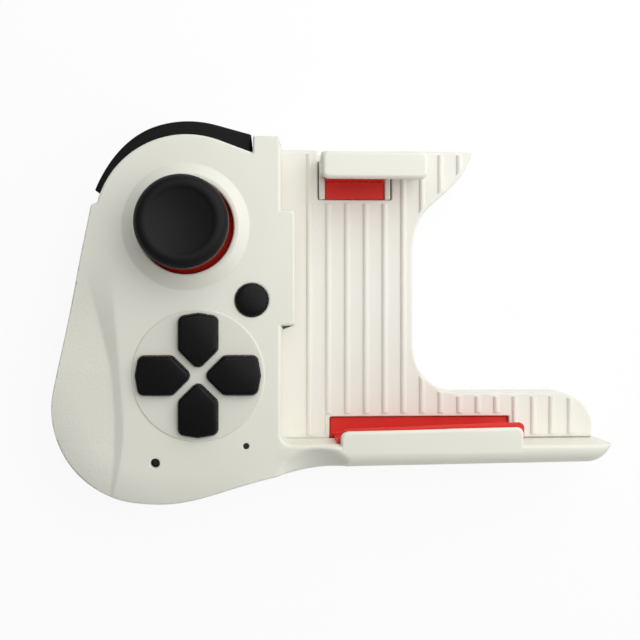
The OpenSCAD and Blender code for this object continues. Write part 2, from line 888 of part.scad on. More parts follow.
module stick_click_switch() color(black)
at_pivot() {
    half = base_w / 2;
    box([half, -3, -pivot_h], [half + 3.2, 3, -0.6 - trunnion_r]);
}

module stick_rocker() color("#e6e2d6")
at_pivot() difference() {
    union() {
        cube([frame_w, frame_w, frame_h], center = true);
        across_x(trunnion_r, base_w + 1.6);
    }
    cube([frame_in, frame_in, frame_h + 2], center = true);
    across_y(cross_r + run_gap, frame_w + 2);
}

module stick_pivot() color(steel)
at_pivot() difference() {
    union() {
        across_y(cross_r, frame_w);
        cube([4.6, 4.6, 3], center = true);
    }
    cylinder(r = stem_r + run_gap, h = far, center = true);
}

module stick_bail() color("#e6e2d6")
at_pivot() difference() {
    union() {
        difference() {
            across_x(bail_r + bail_t, bail_w);
            box([-far, -far, -far], [far, far, -trunnion_r - 0.3]);
        }
        across_y(trunnion_r, base_w + 1.6);
    }
    across_x(bail_r, bail_w + 2);
    box([-shaft_r - 0.5, -bail_r + 1.2, 0], [shaft_r + 0.5, bail_r - 1.2, far]);
}

module stick_shaft() color(steel)
at_pivot() {
    shoulder = 1.5 + click_travel + 0.1;
    translate([0, 0, -2.4]) cylinder(r = stem_r, h = shoulder + 2.4);
    translate([0, 0, shoulder]) cylinder(r = shaft_r, h = dome_r + 2 - shoulder);
}

module stick_dome() color(red)
at_pivot() difference() {
    union() {
        difference() {
            sphere(r = dome_r, $fn = 96);
            sphere(r = dome_r - dome_t, $fn = 96);
            box([-far, -far, -far], [far, far, dome_rim]);
        }
        translate([0, 0, dome_r - 6]) cylinder(r = 3.4, h = 6 - dome_t / 2);
    }
    cylinder(r = shaft_r, h = far);
}

module stick_cap() color(black)
at_pivot() {
    top = cap_z - pivot_z;
    low = top - cap_d;
    rim = 2.2;
    difference() {
        rotate_extrude() polygon(concat(
            [[0, dome_r - 2], [neck_r, dome_r - 2], [neck_r, low + 0.3], [cap_r - 2.4, low]],
            bezier([[cap_r - 2.4, low], [cap_r - 0.6, low], [cap_r, low + 0.9], [cap_r, low + 2.6]], 4),
            arc([cap_r - rim, top - rim], rim, 0, 125, 7),
            [[0, top - 1.5]]
        ));
        sphere(r = dome_r + 0.02, $fn = 96);
        cylinder(r = shaft_r, h = dome_r + 2.1);
    }
}

// Keys

module arrow_key(a) color(black)
translate([pad_x, pad_y, 0]) rotate([0, 0, a]) {
    crown_r = 70;
    intersection() {
        plan(key_outline(0), flange_z, key_top_z + over);
        translate([(key_in + key_out) / 2, 0, key_top_z - crown_r]) sphere(r = crown_r);
    }
    plan(key_outline(0.7), flange_z, flange_z + flange_t);
}
module key_right() { arrow_key(0); }
module key_up() { arrow_key(90); }
module key_left() { arrow_key(180); }
module key_down() { arrow_key(270); }

module select_button() color(black) {
    crown_r = 40;
    top = face_z + button_rise;
    intersection() {
        rod(button, button_d / 2, flange_z, top + over);
        translate([button_x, button_y, top - crown_r]) sphere(r = crown_r);
    }
    rod(button, button_d / 2 + 0.8, flange_z, flange_z + flange_t);
}

// Silicone sheet with a dome under each key
module key_mat() color("#9aa0a0") {
    reach = (key_in + key_out) / 2;
    rod(pad, reach + 5, mat_z, mat_z + mat_t);
    rod(button, button_d / 2 + 0.8, mat_z, mat_z + mat_t);
    run = button - pad;
    translate([pad_x, pad_y, mat_z]) rotate([0, 0, atan2(run[1], run[0])])
        box([0, -2.5, 0], [norm(run), 2.5, mat_t]);
    domes = concat([for (a = [0:90:270]) polar(pad, reach, a)], [button]);
    for (d = domes)
        translate([d[0], d[1], mat_z + mat_t / 2])
            cylinder(r1 = 4.2, r2 = 3.2, h = dome_top_z - mat_z - mat_t / 2);
}

// Shoulder trigger

module shoulder_trigger() color(black)
difference() {
    union() {
        plan(
            concat(
                crown_edge(trig_left_a, shoulder_a, 16),
                [
                    past_tangent(crown, crown_r, shoulder_a, trig_end),
                    past_tangent(roof_c, trig_in, roof_a, trig_end)
                ],
                arc(roof_c, trig_in, roof_a, trig_left_a, 14)
            ),
            trig_z, trig_top
        );
        plan(
            [
                polar(crown, hinge_r + 2.1, hinge_a),
                polar(crown, hinge_r - 2.1, hinge_a),
                polar(crown, hinge_r - 2.1, hinge_a - 12),
                polar(crown, hinge_r + 2.4, hinge_a - 12)
            ],
            knuckle_z, knuckle_z + knuckle_h
        );
        rod(hinge, knuckle_r, knuckle_z, knuckle_z + knuckle_h);
        box(
            [finger_x - finger_w / 2, finger_y, trig_z],
            [finger_x + finger_w / 2, crown_y + trig_in - 0.8, trig_z + 2.5]
        );
    }
    rod(hinge, pin_r + run_gap, 0, far);
    rod(hinge, knuckle_r + 0.2, knuckle_z + knuckle_h, far);
    plan(
        concat(
            arc(crown, crown_r - 2, trig_left_a - 14, shoulder_a, 12),
            arc(roof_c, trig_in - over, roof_a + 6, trig_left_a - 14, 12)
        ),
        trig_z + 2.5, trig_top - 1.8
    );
}

module trigger_pin() color(steel)
    rod(hinge, pin_r, wall + 0.2, ceiling_z - 0.6);

// Round wire swept along the points of a coil about an axis
module wire(path, axis, r, sides = 5) {
    n = len(path);
    rings = [
        for (i = [0:n - 1])
            let (
                d = unit(path[min(i + 1, n - 1)] - path[max(i - 1, 0)]),
                side = unit(cross(d, axis)),
                up = cross(side, d)
            )
            [for (k = [0:sides - 1]) path[i] + r * (cos(360 * k / sides) * side - sin(360 * k / sides) * up)]
    ];
    loft([for (i = [0:n - 1]) rings[n - 1 - i]], [path[n - 1], path[0]]);
}

// Torsion spring on the hinge pin, with one leg against each side
module trigger_spring() color(steel) {
    turns = 2.75;
    coil = pin_r + 0.6;
    low = knuckle_z + knuckle_h + 0.4;
    pitch = 0.62;
    leg = 4;
    steps = 16;
    helix = [
        for (i = [0:turns * steps])
            concat(polar(hinge, coil, hinge_a - 90 + 360 * i / steps), low + pitch * i / steps)
    ];
    last = helix[turns * steps];
    wire(
        concat(
            [helix[0] + concat(leg * [cos(hinge_a - 180), sin(hinge_a - 180)], 0)],
            helix,
            [last + concat(leg * [cos(hinge_a - 90), sin(hinge_a - 90)], 0)]
        ),
        [0, 0, 1],
        wire_r
    );
}

module trigger_switch() color(black) {
    box(
        [finger_x - switch_w / 2, switch_tip_y - 3.7, base_z],
        [finger_x + switch_w / 2, switch_tip_y - 0.7, trig_z + 1.3]
    );
    translate([finger_x, switch_tip_y - 1, trig_z + 0.7]) rotate([-90, 0, 0]) cylinder(r = 0.6, h = 1);
}

// Jaws

module upper_jaw() color(white)
difference() {
    union() {
        box([slide_l, tongue_end, tongue_z], [slide_r, jaw_y, tongue_z + tongue_t]);
        box([slide_l, slot_y + rest_gap, tongue_z + tongue_t / 2], [slide_r, jaw_y, seat_z]);
        box([jaw_x, jaw_y - jaw_t, seat_z - over], [slide_r, jaw_y, lip_z - lip_t / 2]);
        box([jaw_x, jaw_y - jaw_t, seat_z + rib_h + slide_gap], [jaw_x + jaw_l, jaw_y, lip_z - lip_t / 2]);
        plan(
            rounded(
                [
                    [jaw_x, jaw_y - jaw_d],
                    [jaw_x + jaw_l, jaw_y - jaw_d],
                    [jaw_x + jaw_l, jaw_y],
                    [jaw_x, jaw_y]
                ],
                [2, 2, 1, 1]
            ),
            lip_z - lip_t, lip_z
        );
        for (x = spring_xs) rod([x, post_y], post_r, wall + 0.6, tongue_z + tongue_t / 2);
    }
    box(
        [slide_l + 1.55, slot_y + rest_gap - over, seat_z - 1.4],
        [slide_r - 1.5, jaw_y - jaw_t, seat_z + over]
    );
}

module upper_pad() color(red) {
    x0 = slide_l + 1.6;
    x1 = slide_r - 1.55;
    face = jaw_y - jaw_t;
    box([x0, slot_y + rest_gap, seat_z - 1.4], [x1, face, seat_z - 0.4]);
    box([x0, face - pad_t, seat_z - 0.9], [x1, face, lip_z - lip_t]);
}

module lower_pad() color(red) {
    x0 = window_x + 0.15;
    x1 = window_x + window_l - 0.15;
    under = lip_z - lip_t;
    box([x0, foot_y, plate_z], [x1, foot_y + window_w - 0.15, plate_z + 1.5]);
    box([x0 + over, foot_y, plate_z + 1], [x1, foot_y + pad_t, under - 0.5]);
    plan(
        rounded(
            [
                [lip_x, foot_y],
                [lip_x + lip_l + 0.4, foot_y],
                [lip_x + lip_l + 0.4, foot_y + lip_reach + 1.5],
                [lip_x, foot_y + lip_reach]
            ],
            [0, 0, 2, 1]
        ),
        under - 1, under
    );
}

// Extension springs that pull the upper jaw shut
module jaw_springs() color(steel) {
    y0 = post_y - post_r - 0.3;
    y1 = anchor_y + post_r + 0.3;
    steps = 8;
    count = coil_turns * steps;
    for (x = spring_xs)
        wire(
            [
                for (i = [0:count])
                    let (a = 360 * i / steps)
                    [x + coil_r * cos(a), y0 + (y1 - y0) * i / count, spring_z + coil_r * sin(a)]
            ],
            [0, 1, 0],
            wire_r
        );
}

front_shell();
rear_shell();
cradle_plate();
shell_screws();
plate_screws();
main_board();
key_board();
board_screws();
battery();
flex_cable();
charge_socket();
stick_base();
stick_sensors();
stick_click_switch();
stick_rocker();
stick_pivot();
stick_bail();
stick_shaft();
stick_dome();
stick_cap();
key_up();
key_left();
key_down();
key_right();
key_mat();
select_button();
reset_switch();
status_led();
light_pipe();
shoulder_trigger();
trigger_pin();
trigger_spring();
trigger_switch();
upper_jaw();
upper_pad();
lower_pad();
jaw_springs();
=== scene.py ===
import math

import bmesh
import bpy
import numpy as np
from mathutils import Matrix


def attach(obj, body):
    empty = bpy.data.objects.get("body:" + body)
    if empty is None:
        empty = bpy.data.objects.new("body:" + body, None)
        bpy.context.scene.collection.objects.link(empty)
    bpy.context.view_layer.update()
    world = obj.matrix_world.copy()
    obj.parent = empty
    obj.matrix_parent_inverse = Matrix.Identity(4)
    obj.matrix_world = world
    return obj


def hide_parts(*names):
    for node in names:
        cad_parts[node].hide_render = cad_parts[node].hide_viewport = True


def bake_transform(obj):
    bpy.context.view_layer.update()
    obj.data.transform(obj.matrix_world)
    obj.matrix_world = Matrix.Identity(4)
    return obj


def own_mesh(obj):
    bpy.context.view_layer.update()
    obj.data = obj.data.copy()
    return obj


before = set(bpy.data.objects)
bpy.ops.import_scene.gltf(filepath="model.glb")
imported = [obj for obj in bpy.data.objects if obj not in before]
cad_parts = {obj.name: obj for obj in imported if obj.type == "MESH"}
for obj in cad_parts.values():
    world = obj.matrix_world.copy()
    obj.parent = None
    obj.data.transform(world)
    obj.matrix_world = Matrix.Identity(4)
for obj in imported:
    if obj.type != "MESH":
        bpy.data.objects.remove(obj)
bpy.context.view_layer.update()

mm = 0.001
print("frame loaded,", len(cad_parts), "nodes")


# Materials

def linear(text):
    parts = [int(text[i:i + 2], 16) / 255 for i in (1, 3, 5)]
    return [c / 12.92 if c <= 0.04045 else ((c + 0.055) / 1.055) ** 2.4 for c in parts] + [1.0]


def addNode(tree, kind, inputs=None, **settings):
    node = tree.nodes.new(kind)
    for key, value in settings.items():
        setattr(node, key, value)
    for key, value in (inputs or {}).items():
        if isinstance(value, bpy.types.NodeSocket):
            tree.links.new(value, node.inputs[key])
        else:
            node.inputs[key].default_value = value
    return node


def surface(name, colour, drift, roughness, grain, relief, cloud=22.0, spread=0.05, mask=None, **shader):
    # colour wanders towards drift over patches of cloud mm, grain and relief are in mm too
    # mask names the attribute that says how much of the relief a point has
    material = bpy.data.materials.new(name)
    material.use_nodes = True
    tree = material.node_tree
    tree.nodes.clear()
    place = addNode(tree, "ShaderNodeTexCoord").outputs["Object"]
    patches = addNode(tree, "ShaderNodeTexNoise", {"Vector": place, "Scale": 1000 / cloud, "Detail": 2.0})
    pits = addNode(tree, "ShaderNodeTexNoise", {
        "Vector": place, "Scale": 1000 / grain, "Detail": 3.0, "Roughness": 0.55})
    tint = addNode(tree, "ShaderNodeMix", {
        0: patches.outputs[0], 6: linear(colour), 7: linear(drift)}, data_type="RGBA")
    gloss = addNode(tree, "ShaderNodeMapRange", {
        0: pits.outputs[0], 1: 0.3, 2: 0.7, 3: roughness - spread, 4: roughness + spread})
    bump = addNode(tree, "ShaderNodeBump", {
        "Height": pits.outputs[0], "Strength": 1.0, "Distance": relief * mm})
    if mask:
        share = addNode(tree, "ShaderNodeAttribute", attribute_name=mask)
        tree.links.new(share.outputs["Fac"], bump.inputs["Strength"])
    shading = addNode(tree, "ShaderNodeBsdfPrincipled", {
        "Base Color": tint.outputs[2], "Roughness": gloss.outputs[0], "Normal": bump.outputs[0]})
    for key, value in shader.items():
        shading.inputs[key.replace("_", " ")].default_value = value
    addNode(tree, "ShaderNodeOutputMaterial", {"Surface": shading.outputs[0]})
    return material


# spark-eroded mould: soft gloss, with a grain of about 0.1 mm drawn at 0.6 mm to show, coarse on the flank
faceAbs = surface("white moulded ABS", "#EAE9DE", "#E4E3D6", 0.4, 0.6, 0.07, mask="texture", IOR=1.53)
# back and jaw: the same plastic with the fine grain all over
whiteAbs = surface("white grained ABS", "#EAE9DE", "#E4E3D6", 0.4, 0.5, 0.01, IOR=1.53)
# disc round the keys: polished, so it takes sharper lights than the face; its colour, a little darker than
# the face's, is painted shade for the dark reflection on the disc
glossShadedAbs = surface("polished white ABS", "#E4E3D8", "#DFDED2", 0.16, 0.5, 0.003, IOR=1.53)
# cradle floor: the same plastic from a finer mould; its colour, a little lighter and paler than the face's,
# is painted light for the brighter light on the floor
plateLitAbs = surface("cream moulded ABS", "#ECEBE2", "#E6E4DA", 0.36, 0.45, 0.006, IOR=1.53)
# keys: satin black with an even sheen
blackAbs = surface("black moulded ABS", "#070708", "#0B0B0C", 0.27, 0.4, 0.003,
                   IOR=1.53, Specular_IOR_Level=0.15)
# trigger: the same black from a coarser mould, nearly matte
matteAbs = surface("matte black ABS", "#0A0A0B", "#101011", 0.5, 0.5, 0.02,
                   IOR=1.53, Specular_IOR_Level=0.14)
# soft grip of the cap: dry, no sharp highlight
gripRubber = surface("black moulded rubber", "#0B0B0C", "#111113", 0.5, 0.35, 0.02,
                     IOR=1.5, Specular_IOR_Level=0.18)
# dust dome: polished red moulding
redAbs = surface("red moulded ABS", "#E0352A", "#D02B21", 0.3, 0.5, 0.004, IOR=1.53)
# pads: matte red rubber, dry and without a sharp highlight
redRubber = surface("red moulded rubber", "#DE2B1F", "#D0251A", 0.5, 0.5, 0.02,
                    IOR=1.5, Specular_IOR_Level=0.35)
# plated fasteners: bright, broken up by fine specks
zincScrew = surface("zinc plated steel", "#C6C8CA", "#AEB1B5", 0.3, 0.3, 0.006, cloud=3.0, Metallic=1.0)
# drawn wire and pressed parts: duller than the screws
springSteel = surface("drawn spring steel", "#A9ABAF", "#8E9196", 0.28, 0.2, 0.004, cloud=2.0, Metallic=1.0)
# solder mask over glass fibre: glossy, a little uneven over the weave of about 0.5 mm
solderMask = surface("green solder mask", "#1C5B3A", "#174C31", 0.34, 0.5, 0.006, IOR=1.5)
# pouch cell: bright foil with soft crinkles
cellFoil = surface("aluminium laminate foil", "#C9CBCE", "#B4B7BB", 0.32, 1.2, 0.05, Metallic=0.8)
# flexible cable: smooth amber film
flexFilm = surface("polyimide film", "#B9702A", "#A4611F", 0.3, 0.8, 0.006, IOR=1.6)
# switches: dull black, dry from the glass in it
switchNylon = surface("black glass nylon", "#202022", "#2A2A2C", 0.5, 0.3, 0.02, IOR=1.53)
# stick sensors: plain blue with a low sheen
sensorNylon = surface("blue moulded nylon", "#2B5AA0", "#244E8C", 0.42, 0.4, 0.01, IOR=1.53)
# rocker and bail: milky and a little waxy
acetal = surface("natural acetal", "#E6E2D6", "#DDD8CA", 0.4, 0.4, 0.006, IOR=1.48)
# key mat: soft grey, no sharp highlight
silicone = surface("grey silicone rubber", "#9AA0A0", "#8C9292", 0.55, 0.4, 0.01, IOR=1.41)
# light source: pale green and glossy
ledLens = surface("cast epoxy", "#D8E8D8", "#CBDDCB", 0.12, 0.6, 0.002, IOR=1.55)
# light pipe: dark and glossy
smokeAcrylic = surface("smoked acrylic", "#26292C", "#1E2124", 0.12, 0.6, 0.002, IOR=1.49)
print("materials made")


# Outlines in the plan, in mm

def polar(centre, radius, angle):
    turn = math.radians(angle)
    return centre[0] + radius * math.cos(turn), centre[1] + radius * math.sin(turn)


def arc(centre, radius, start, stop, count):
    return [polar(centre, radius, start + (stop - start) * i / count) for i in range(count + 1)]


def bezier(points, count):
    p = np.array(points, float)
    t = np.linspace(0, 1, count + 1)[1:, None]
    s = 1 - t
    return [tuple(q) for q in s**3 * p[0] + 3 * s * s * t * p[1] + 3 * s * t * t * p[2] + t**3 * p[3]]


def pastTangent(centre, radius, angle, x):
    px, py = polar(centre, radius, angle)
    return x, py - (x - px) / math.tan(math.radians(angle))


def inset(points, d):
    p = np.array(points, float)
    into = p - np.roll(p, 1, axis=0)
    out = np.roll(into, -1, axis=0)
    into = into / np.linalg.norm(into, axis=1)[:, None]
    out = out / np.linalg.norm(out, axis=1)[:, None]
    left = np.stack([-into[:, 1], into[:, 0]], 1)
    right = np.stack([-out[:, 1], out[:, 0]], 1)
    return p + d * (left + right) / (1 + (left * right).sum(1))[:, None]


def outlineDistance(points, x, y):
    p = np.array(points, float)
    near = np.full(np.broadcast(x, y).shape, 1e9)
    inside = np.zeros(near.shape, bool)
    for (ax, ay), (bx, by) in zip(p, np.roll(p, -1, axis=0)):
        ex, ey = bx - ax, by - ay
        along = np.clip(((x - ax) * ex + (y - ay) * ey) / (ex * ex + ey * ey), 0, 1)
        near = np.minimum(near, (x - ax - along * ex) ** 2 + (y - ay - along * ey) ** 2)
        if ey != 0:
            inside ^= ((ay > y) != (by > y)) & (x < ax + (y - ay) * ex / ey)
    return np.where(inside, -1, 1) * np.sqrt(near)


# Fields: below zero inside the piece, and every meeting of two faces has its radius

def roundMax(a, b, r):
    return np.minimum(-r, np.maximum(a, b)) + np.hypot(np.maximum(r + a, 0), np.maximum(r + b, 0))


def roundMin(a, b, r):
    return -roundMax(-a, -b, r)


def ovalRim(side, top, width, depth):
    u = np.maximum(side / width + 1, 0)
    v = np.maximum(top / depth + 1, 0)
    n = np.hypot(u, v)
    slope = np.hypot(u / width, v / depth)
    return np.where(n > 0, (n - 1) * n / np.maximum(slope, 1e-9), -min(width, depth))


def bar(x, y, z, low, high, corner, edge):
    # block with rounded corners in the plan and softened rims
    u = np.abs(x - (low[0] + high[0]) / 2) - (high[0] - low[0]) / 2
    v = np.abs(y - (low[1] + high[1]) / 2) - (high[1] - low[1]) / 2
    w = np.abs(z - (low[2] + high[2]) / 2) - (high[2] - low[2]) / 2
    return roundMax(roundMax(u, v, corner), w, edge)


def post(x, y, z, at, radius, low, high, edge):
    w = np.abs(z - (low + high) / 2) - (high - low) / 2
    return roundMax(np.hypot(x - at[0], y - at[1]) - radius, w, edge)


def slopeOf(field, points):
    small = 0.02
    rise = [field(*(points + small * way).T) - field(*(points - small * way).T) for way in np.eye(3)]
    return np.stack(rise, 1) / (2 * small)


def skin(field, low, high, step, fine=((), (), ())):
    # surface nets on a grid, then each point is drawn onto the true surface
    axes = []
    for a, b, dense in zip(low, high, fine):
        line = np.arange(a - 1.6 * step, b + 2.4 * step, step)
        for start, stop, closer in dense:
            line = line[(line < start) | (line > stop)]
            line = np.sort(np.concatenate([line, np.arange(start, stop, closer)]))
        axes.append(line)
    x, y, z = np.meshgrid(*axes, indexing="ij", sparse=True)
    value = np.broadcast_to(field(x, y, z), [len(line) for line in axes])
    cells = np.array(value.shape) - 1
    size = int(np.prod(cells))
    total = np.zeros((size, 3))
    count = np.zeros(size)
    faces = []
    for axis in range(3):
        u, v = (axis + 1) % 3, (axis + 2) % 3
        near = value.take(range(value.shape[axis] - 1), axis)
        far = value.take(range(1, value.shape[axis]), axis)
        edge = np.argwhere((near < 0) != (far < 0))
        start, stop = near[tuple(edge.T)], far[tuple(edge.T)]
        at = np.stack([line[edge[:, i]] for i, line in enumerate(axes)], 1)
        reach = axes[axis][edge[:, axis] + 1] - at[:, axis]
        at[:, axis] += reach * start / (start - stop)
        ring = []
        for du, dv in ((1, 1), (0, 1), (0, 0), (1, 0)):
            cell = edge.copy()
            cell[:, u] -= du
            cell[:, v] -= dv
            flat = np.ravel_multi_index(cell.T, cells)
            count += np.bincount(flat, minlength=size)
            for i in range(3):
                total[:, i] += np.bincount(flat, at[:, i], minlength=size)
            ring.append(flat)
        ring = np.stack(ring, 1)
        ring[start > 0] = ring[start > 0][:, ::-1]
        faces.append(ring)
    used = np.flatnonzero(count)
    points = total[used] / count[used, None]
    lookup = np.zeros(size, np.int64)
    lookup[used] = np.arange(len(used))
    for turn in range(4):
        slope = slopeOf(field, points)
        move = field(*points.T) / np.maximum((slope**2).sum(1), 0.2)
        points = points - np.clip(move, -0.4 * step, 0.4 * step)[:, None] * slope
    slope = slopeOf(field, points)
    normals = slope / np.maximum(np.linalg.norm(slope, axis=1), 1e-6)[:, None]
    return points, normals, lookup[np.concatenate(faces)]


def boxed(plan, low, high):
    # lowest and highest corner of the grid that a field is skinned on
    return (*plan[0], low), (*plan[1], high)


def makePiece(name, points, normals, faces):
    mesh = bpy.data.meshes.new(name)
    mesh.from_pydata((np.array(points) * mm).tolist(), [], [list(face) for face in faces])
    mesh.polygons.foreach_set("use_smooth", [True] * len(mesh.polygons))
    mesh.validate()
    if normals is not None and len(normals) == len(mesh.vertices):
        mesh.normals_split_custom_set_from_vertices(normals.tolist())
    piece = bpy.data.objects.new(name, mesh)
    bpy.context.collection.objects.link(piece)
    print(name, len(mesh.polygons), "faces")
    return piece


def turned(profile, centre, count=128, ring=False):
    # profile of radius and height pairs spun about the centre, a ring's profile closes on itself
    p = np.array(profile, float)
    angles = 2 * np.pi * np.arange(count) / count
    rings = len(p)
    points = np.stack([
        centre[0] + np.outer(p[:, 0], np.cos(angles)),
        centre[1] + np.outer(p[:, 0], np.sin(angles)),
        np.repeat(p[:, 1:2], count, 1)], 2).reshape(-1, 3)
    faces = [
        (k * count + i, k * count + (i + 1) % count, (k + 1) * count + (i + 1) % count, (k + 1) * count + i)
        for k in range(rings - 1) for i in range(count)]
    last = (rings - 1) * count
    if ring:
        faces += [(last + i, last + (i + 1) % count, (i + 1) % count, i) for i in range(count)]
    else:
        faces.append(list(range(count))[::-1])
        faces.append([last + i for i in range(count)])
    return points, None, faces


def dress(piece, material, body, slot, *nodes):
    if not piece.data.materials:
        piece.data.materials.append(material)
    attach(piece, body)
    if nodes:
        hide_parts(*nodes)


# Grip and its face

grip = {
    "crown": (-34.0, 21.9), "crownRadius": 25.0, "heel": (-44.0, -22.3), "heelRadius": 23.0,
    "shoulder": 75, "hip": 262, "hipRun": 18.0, "waist": (-26.0, -39.3), "join": (4.0, -36.3),
    "past": 18.0, "block": 43.5, "blockStep": 0.3, "triggerRight": -18.7,
    "pocket": -12.0, "foot": -30.6, "top": 41.5, "pocketCorner": 2.5,
    "seat": 11.0, "ceiling": 20.0, "face": 22.0, "wall": 2.0, "plate": 8.5,
    "rimWidth": 0.5, "rimDepth": 4.0, "draft": 0.5, "draftRun": 8.0, "backRound": 9.0, "postRadius": 3.3,
    "soften": 0.6, "seam": 0.35, "shy": 0.04, "box": ((-68.0, -46.9), (68.0, 46.9)),
    "stick": (-34.5, 21.2), "stickHole": 11.35, "collarFlat": 12.55, "collarFoot": 14.9, "collarTop": 23.5,
    "collarCore": (20.0, 23.0),
    "pad": (-31.6, -14.0), "disc": 15.7, "discLow": 20.8, "discTop": 22.22,
    "button": (-19.0, 3.8), "buttonHole": 4.0, "light": (-20.3, -30.8), "lightHole": 0.7,
    "reset": (-41.7, -34.7), "resetHole": 1.1,
    "scoop": (-3.5, -41.0, 26.0), "scoopRadius": 10.0,
    "railWidth": 5.7, "railTaper": 1.0, "railRise": 12.0, "railStart": 10.5, "railRound": 3.5,
    "railLean": 0.03, "railTip": 67.97, "tipRun": 5.6, "tipKeep": 0.86, "climbFrom": -13.0, "climbRun": 14.1,
}
flank = {"turn": -26.0, "turnSoft": 3.0, "creaseX": -49.15, "upSlope": 0.085, "downCurve": 0.0099,
         "width": 2.1, "widen": 0.16, "widenFrom": -13.0, "narrow": 0.12, "narrowFrom": -30.0, "least": 0.5,
         "tilt": 0.36, "fadeFrom": 16.0, "fade": 22.0, "soft": 0.22,
         "domeRun": 9.0, "dome": 1.6, "domeAngle": 245, "domeSpread": 80, "fine": 0.12}
key = {"tip": 1.45, "half": 4.6, "reach": 14.35, "bow": 0.3, "cornerBack": 0.5, "round": 1.5, "gap": 0.12,
       "top": 24.3, "crown": 70.0, "flange": 18.5, "flangeThick": 1.2, "flangeEdge": 0.7, "press": 1.2,
       "box": ((0.4, -5.6), (15.5, 5.6))}
arrowKeys = ("key_right", "key_up", "key_left", "key_down")
quarters = ((1, 0), (0, 1), (-1, 0), (0, -1))  # cosine and sine of each key's turn
trigger = {"low": 7.0, "high": 18.6, "roof": 21.8, "inner": 20.5, "roofAngle": 70, "left": 160,
           "flare": 165.5, "flareWay": 192, "voidLeft": 166, "sweep": 3.0, "roofRoom": 0.5, "lean": 0.7,
           "taper": 1.1, "taperFrom": 108, "taperRun": 45, "end": -19.15, "soft": 0.3, "gap": 0.3,
           "hinge": (-53.317, 27.806), "knuckle": 2.3, "knuckleLow": 7.9, "knuckleHigh": 15.1,
           "pinHole": 0.95, "springRoom": 2.5, "armLevel": 11.5, "armHalf": 3.6,
           "arm": ((22.3, 163), (18.1, 163), (18.1, 151), (22.6, 151)),
           "finger": ((-28.5, 38.05), (-25.5, 41.6)), "fingerTall": 2.5,
           "box": ((-59.5, 25.3), (-19.3, 46.9))}
jaw = {"left": -2.5, "right": 15.5, "slot": 29.2, "outer": 39.1, "wall": 4.2, "depth": 6.5, "length": 25.2,
       "lipTop": 24.0, "lipThick": 2.2, "tongueEnd": -4.0, "tongueLow": 5.2, "tongueHigh": 8.2, "gap": 0.3,
       "rest": 0.05, "blockLow": 6.5, "wallLow": 10.0, "endLow": 11.9, "wallTop": 22.9, "traySink": 1.4,
       "trayLeft": 1.55, "trayRight": 1.5, "guide": 0.8, "guideEnd": -8.0, "track": (5.7, 7.3),
       "lipShy": 0.1}
tab = {"low": -2.3, "high": 25.2, "under": 19.5, "reach": 3.2,
       "room": ((-11.7, -2.2), (-11.7, -3.3), (-9.0, -2.3), (-9.0, 24.2), (-11.7, 24.2))}
rest = {"lipX": 2.1, "lipLength": 44.1, "lipReach": 3.6, "lipSkew": 0.45,
        "windowX": 0.2, "windowLength": 45.4, "windowWidth": 5.5, "ledge": 7.0}
socket = {"x": -29.5, "half": 3.8, "low": 10.5, "high": 13.4, "room": 0.5, "deep": -34.4}

crown, heel = grip["crown"], grip["heel"]
run = (crown[0] - heel[0], crown[1] - heel[1])
sideAngle = math.degrees(math.atan2(run[1], run[0]) + math.acos(
    (grip["heelRadius"] - grip["crownRadius"] + trigger["taper"]) / math.hypot(*run)))
hip = polar(heel, grip["heelRadius"], grip["hip"])


def crownEdge(start, stop, count):
    # the upper end is drawn in towards its outer side
    edge = []
    for a in np.linspace(start, stop, count + 1):
        t = min(1, max(0, (a - trigger["taperFrom"]) / trigger["taperRun"]))
        edge.append(polar(crown, grip["crownRadius"] - trigger["taper"] * t * t * (3 - 2 * t), a))
    return edge


gripLine = (
    [(grip["past"], grip["top"]), (grip["pocket"] + grip["blockStep"], grip["top"]),
     (grip["pocket"], grip["block"]),
     pastTangent(crown, grip["crownRadius"], grip["shoulder"], grip["triggerRight"])]
    + crownEdge(grip["shoulder"], sideAngle, 40)
    + arc(heel, grip["heelRadius"], sideAngle, grip["hip"], 40)[1:]
    + bezier([hip, polar(hip, grip["hipRun"], grip["hip"] + 90), grip["waist"], grip["join"]], 24)
    + [(grip["past"], grip["join"][1])])
gripSoft = inset(gripLine, grip["soften"])


def gripPlan(x, y):
    return outlineDistance(gripSoft, x, y) - grip["soften"] + grip["shy"]


def pastCrease(x, y):
    # how far a point lies outwards of the crease down the face, and the width of the slope there
    w = flank
    up, down = np.maximum(y - w["turn"], 0), np.minimum(y - w["turn"], 0)
    climb = np.hypot(up, w["turnSoft"]) - w["turnSoft"]
    crease = w["creaseX"] - w["upSlope"] * climb - w["downCurve"] * down**2
    width = w["width"] + w["widen"] * np.maximum(y - w["widenFrom"], 0)
    return crease - x, np.maximum(width - w["narrow"] * np.maximum(w["narrowFrom"] - y, 0), w["least"])


def outerDrop(x, y, plan):
    # the outer part of the face lies lower, past a slope that narrows towards the heel, which is domed
    w = flank
    u, width = pastCrease(x, y)
    ramp = (np.hypot(u, w["soft"]) - np.hypot(u - width, w["soft"]) + width) / 2
    t = np.clip((w["fadeFrom"] - y) / w["fade"], 0, 1)
    aim = np.arctan2(y - heel[1], x - heel[0]) - math.radians(w["domeAngle"])
    apart = np.abs(np.arctan2(np.sin(aim), np.cos(aim)))
    share = np.maximum(np.cos(np.clip(apart * 90 / w["domeSpread"], 0, np.pi / 2)), 0)
    fall = np.clip(1 + plan / w["domeRun"], 0, 1.2)
    return t * t * (3 - 2 * t) * w["tilt"] * ramp + w["dome"] * share * fall**2


tip, half = key["tip"], key["half"]
corner, bow = key["reach"] - key["cornerBack"], key["reach"] + key["bow"]
keyLine = [(tip, 0), (tip + half, -half), (corner, -half), (bow, 0), (corner, half), (tip + half, half)]
keySoft = inset(keyLine, key["round"])


def keyPlan(x, y):
    return outlineDistance(keySoft, x, y) - key["round"]


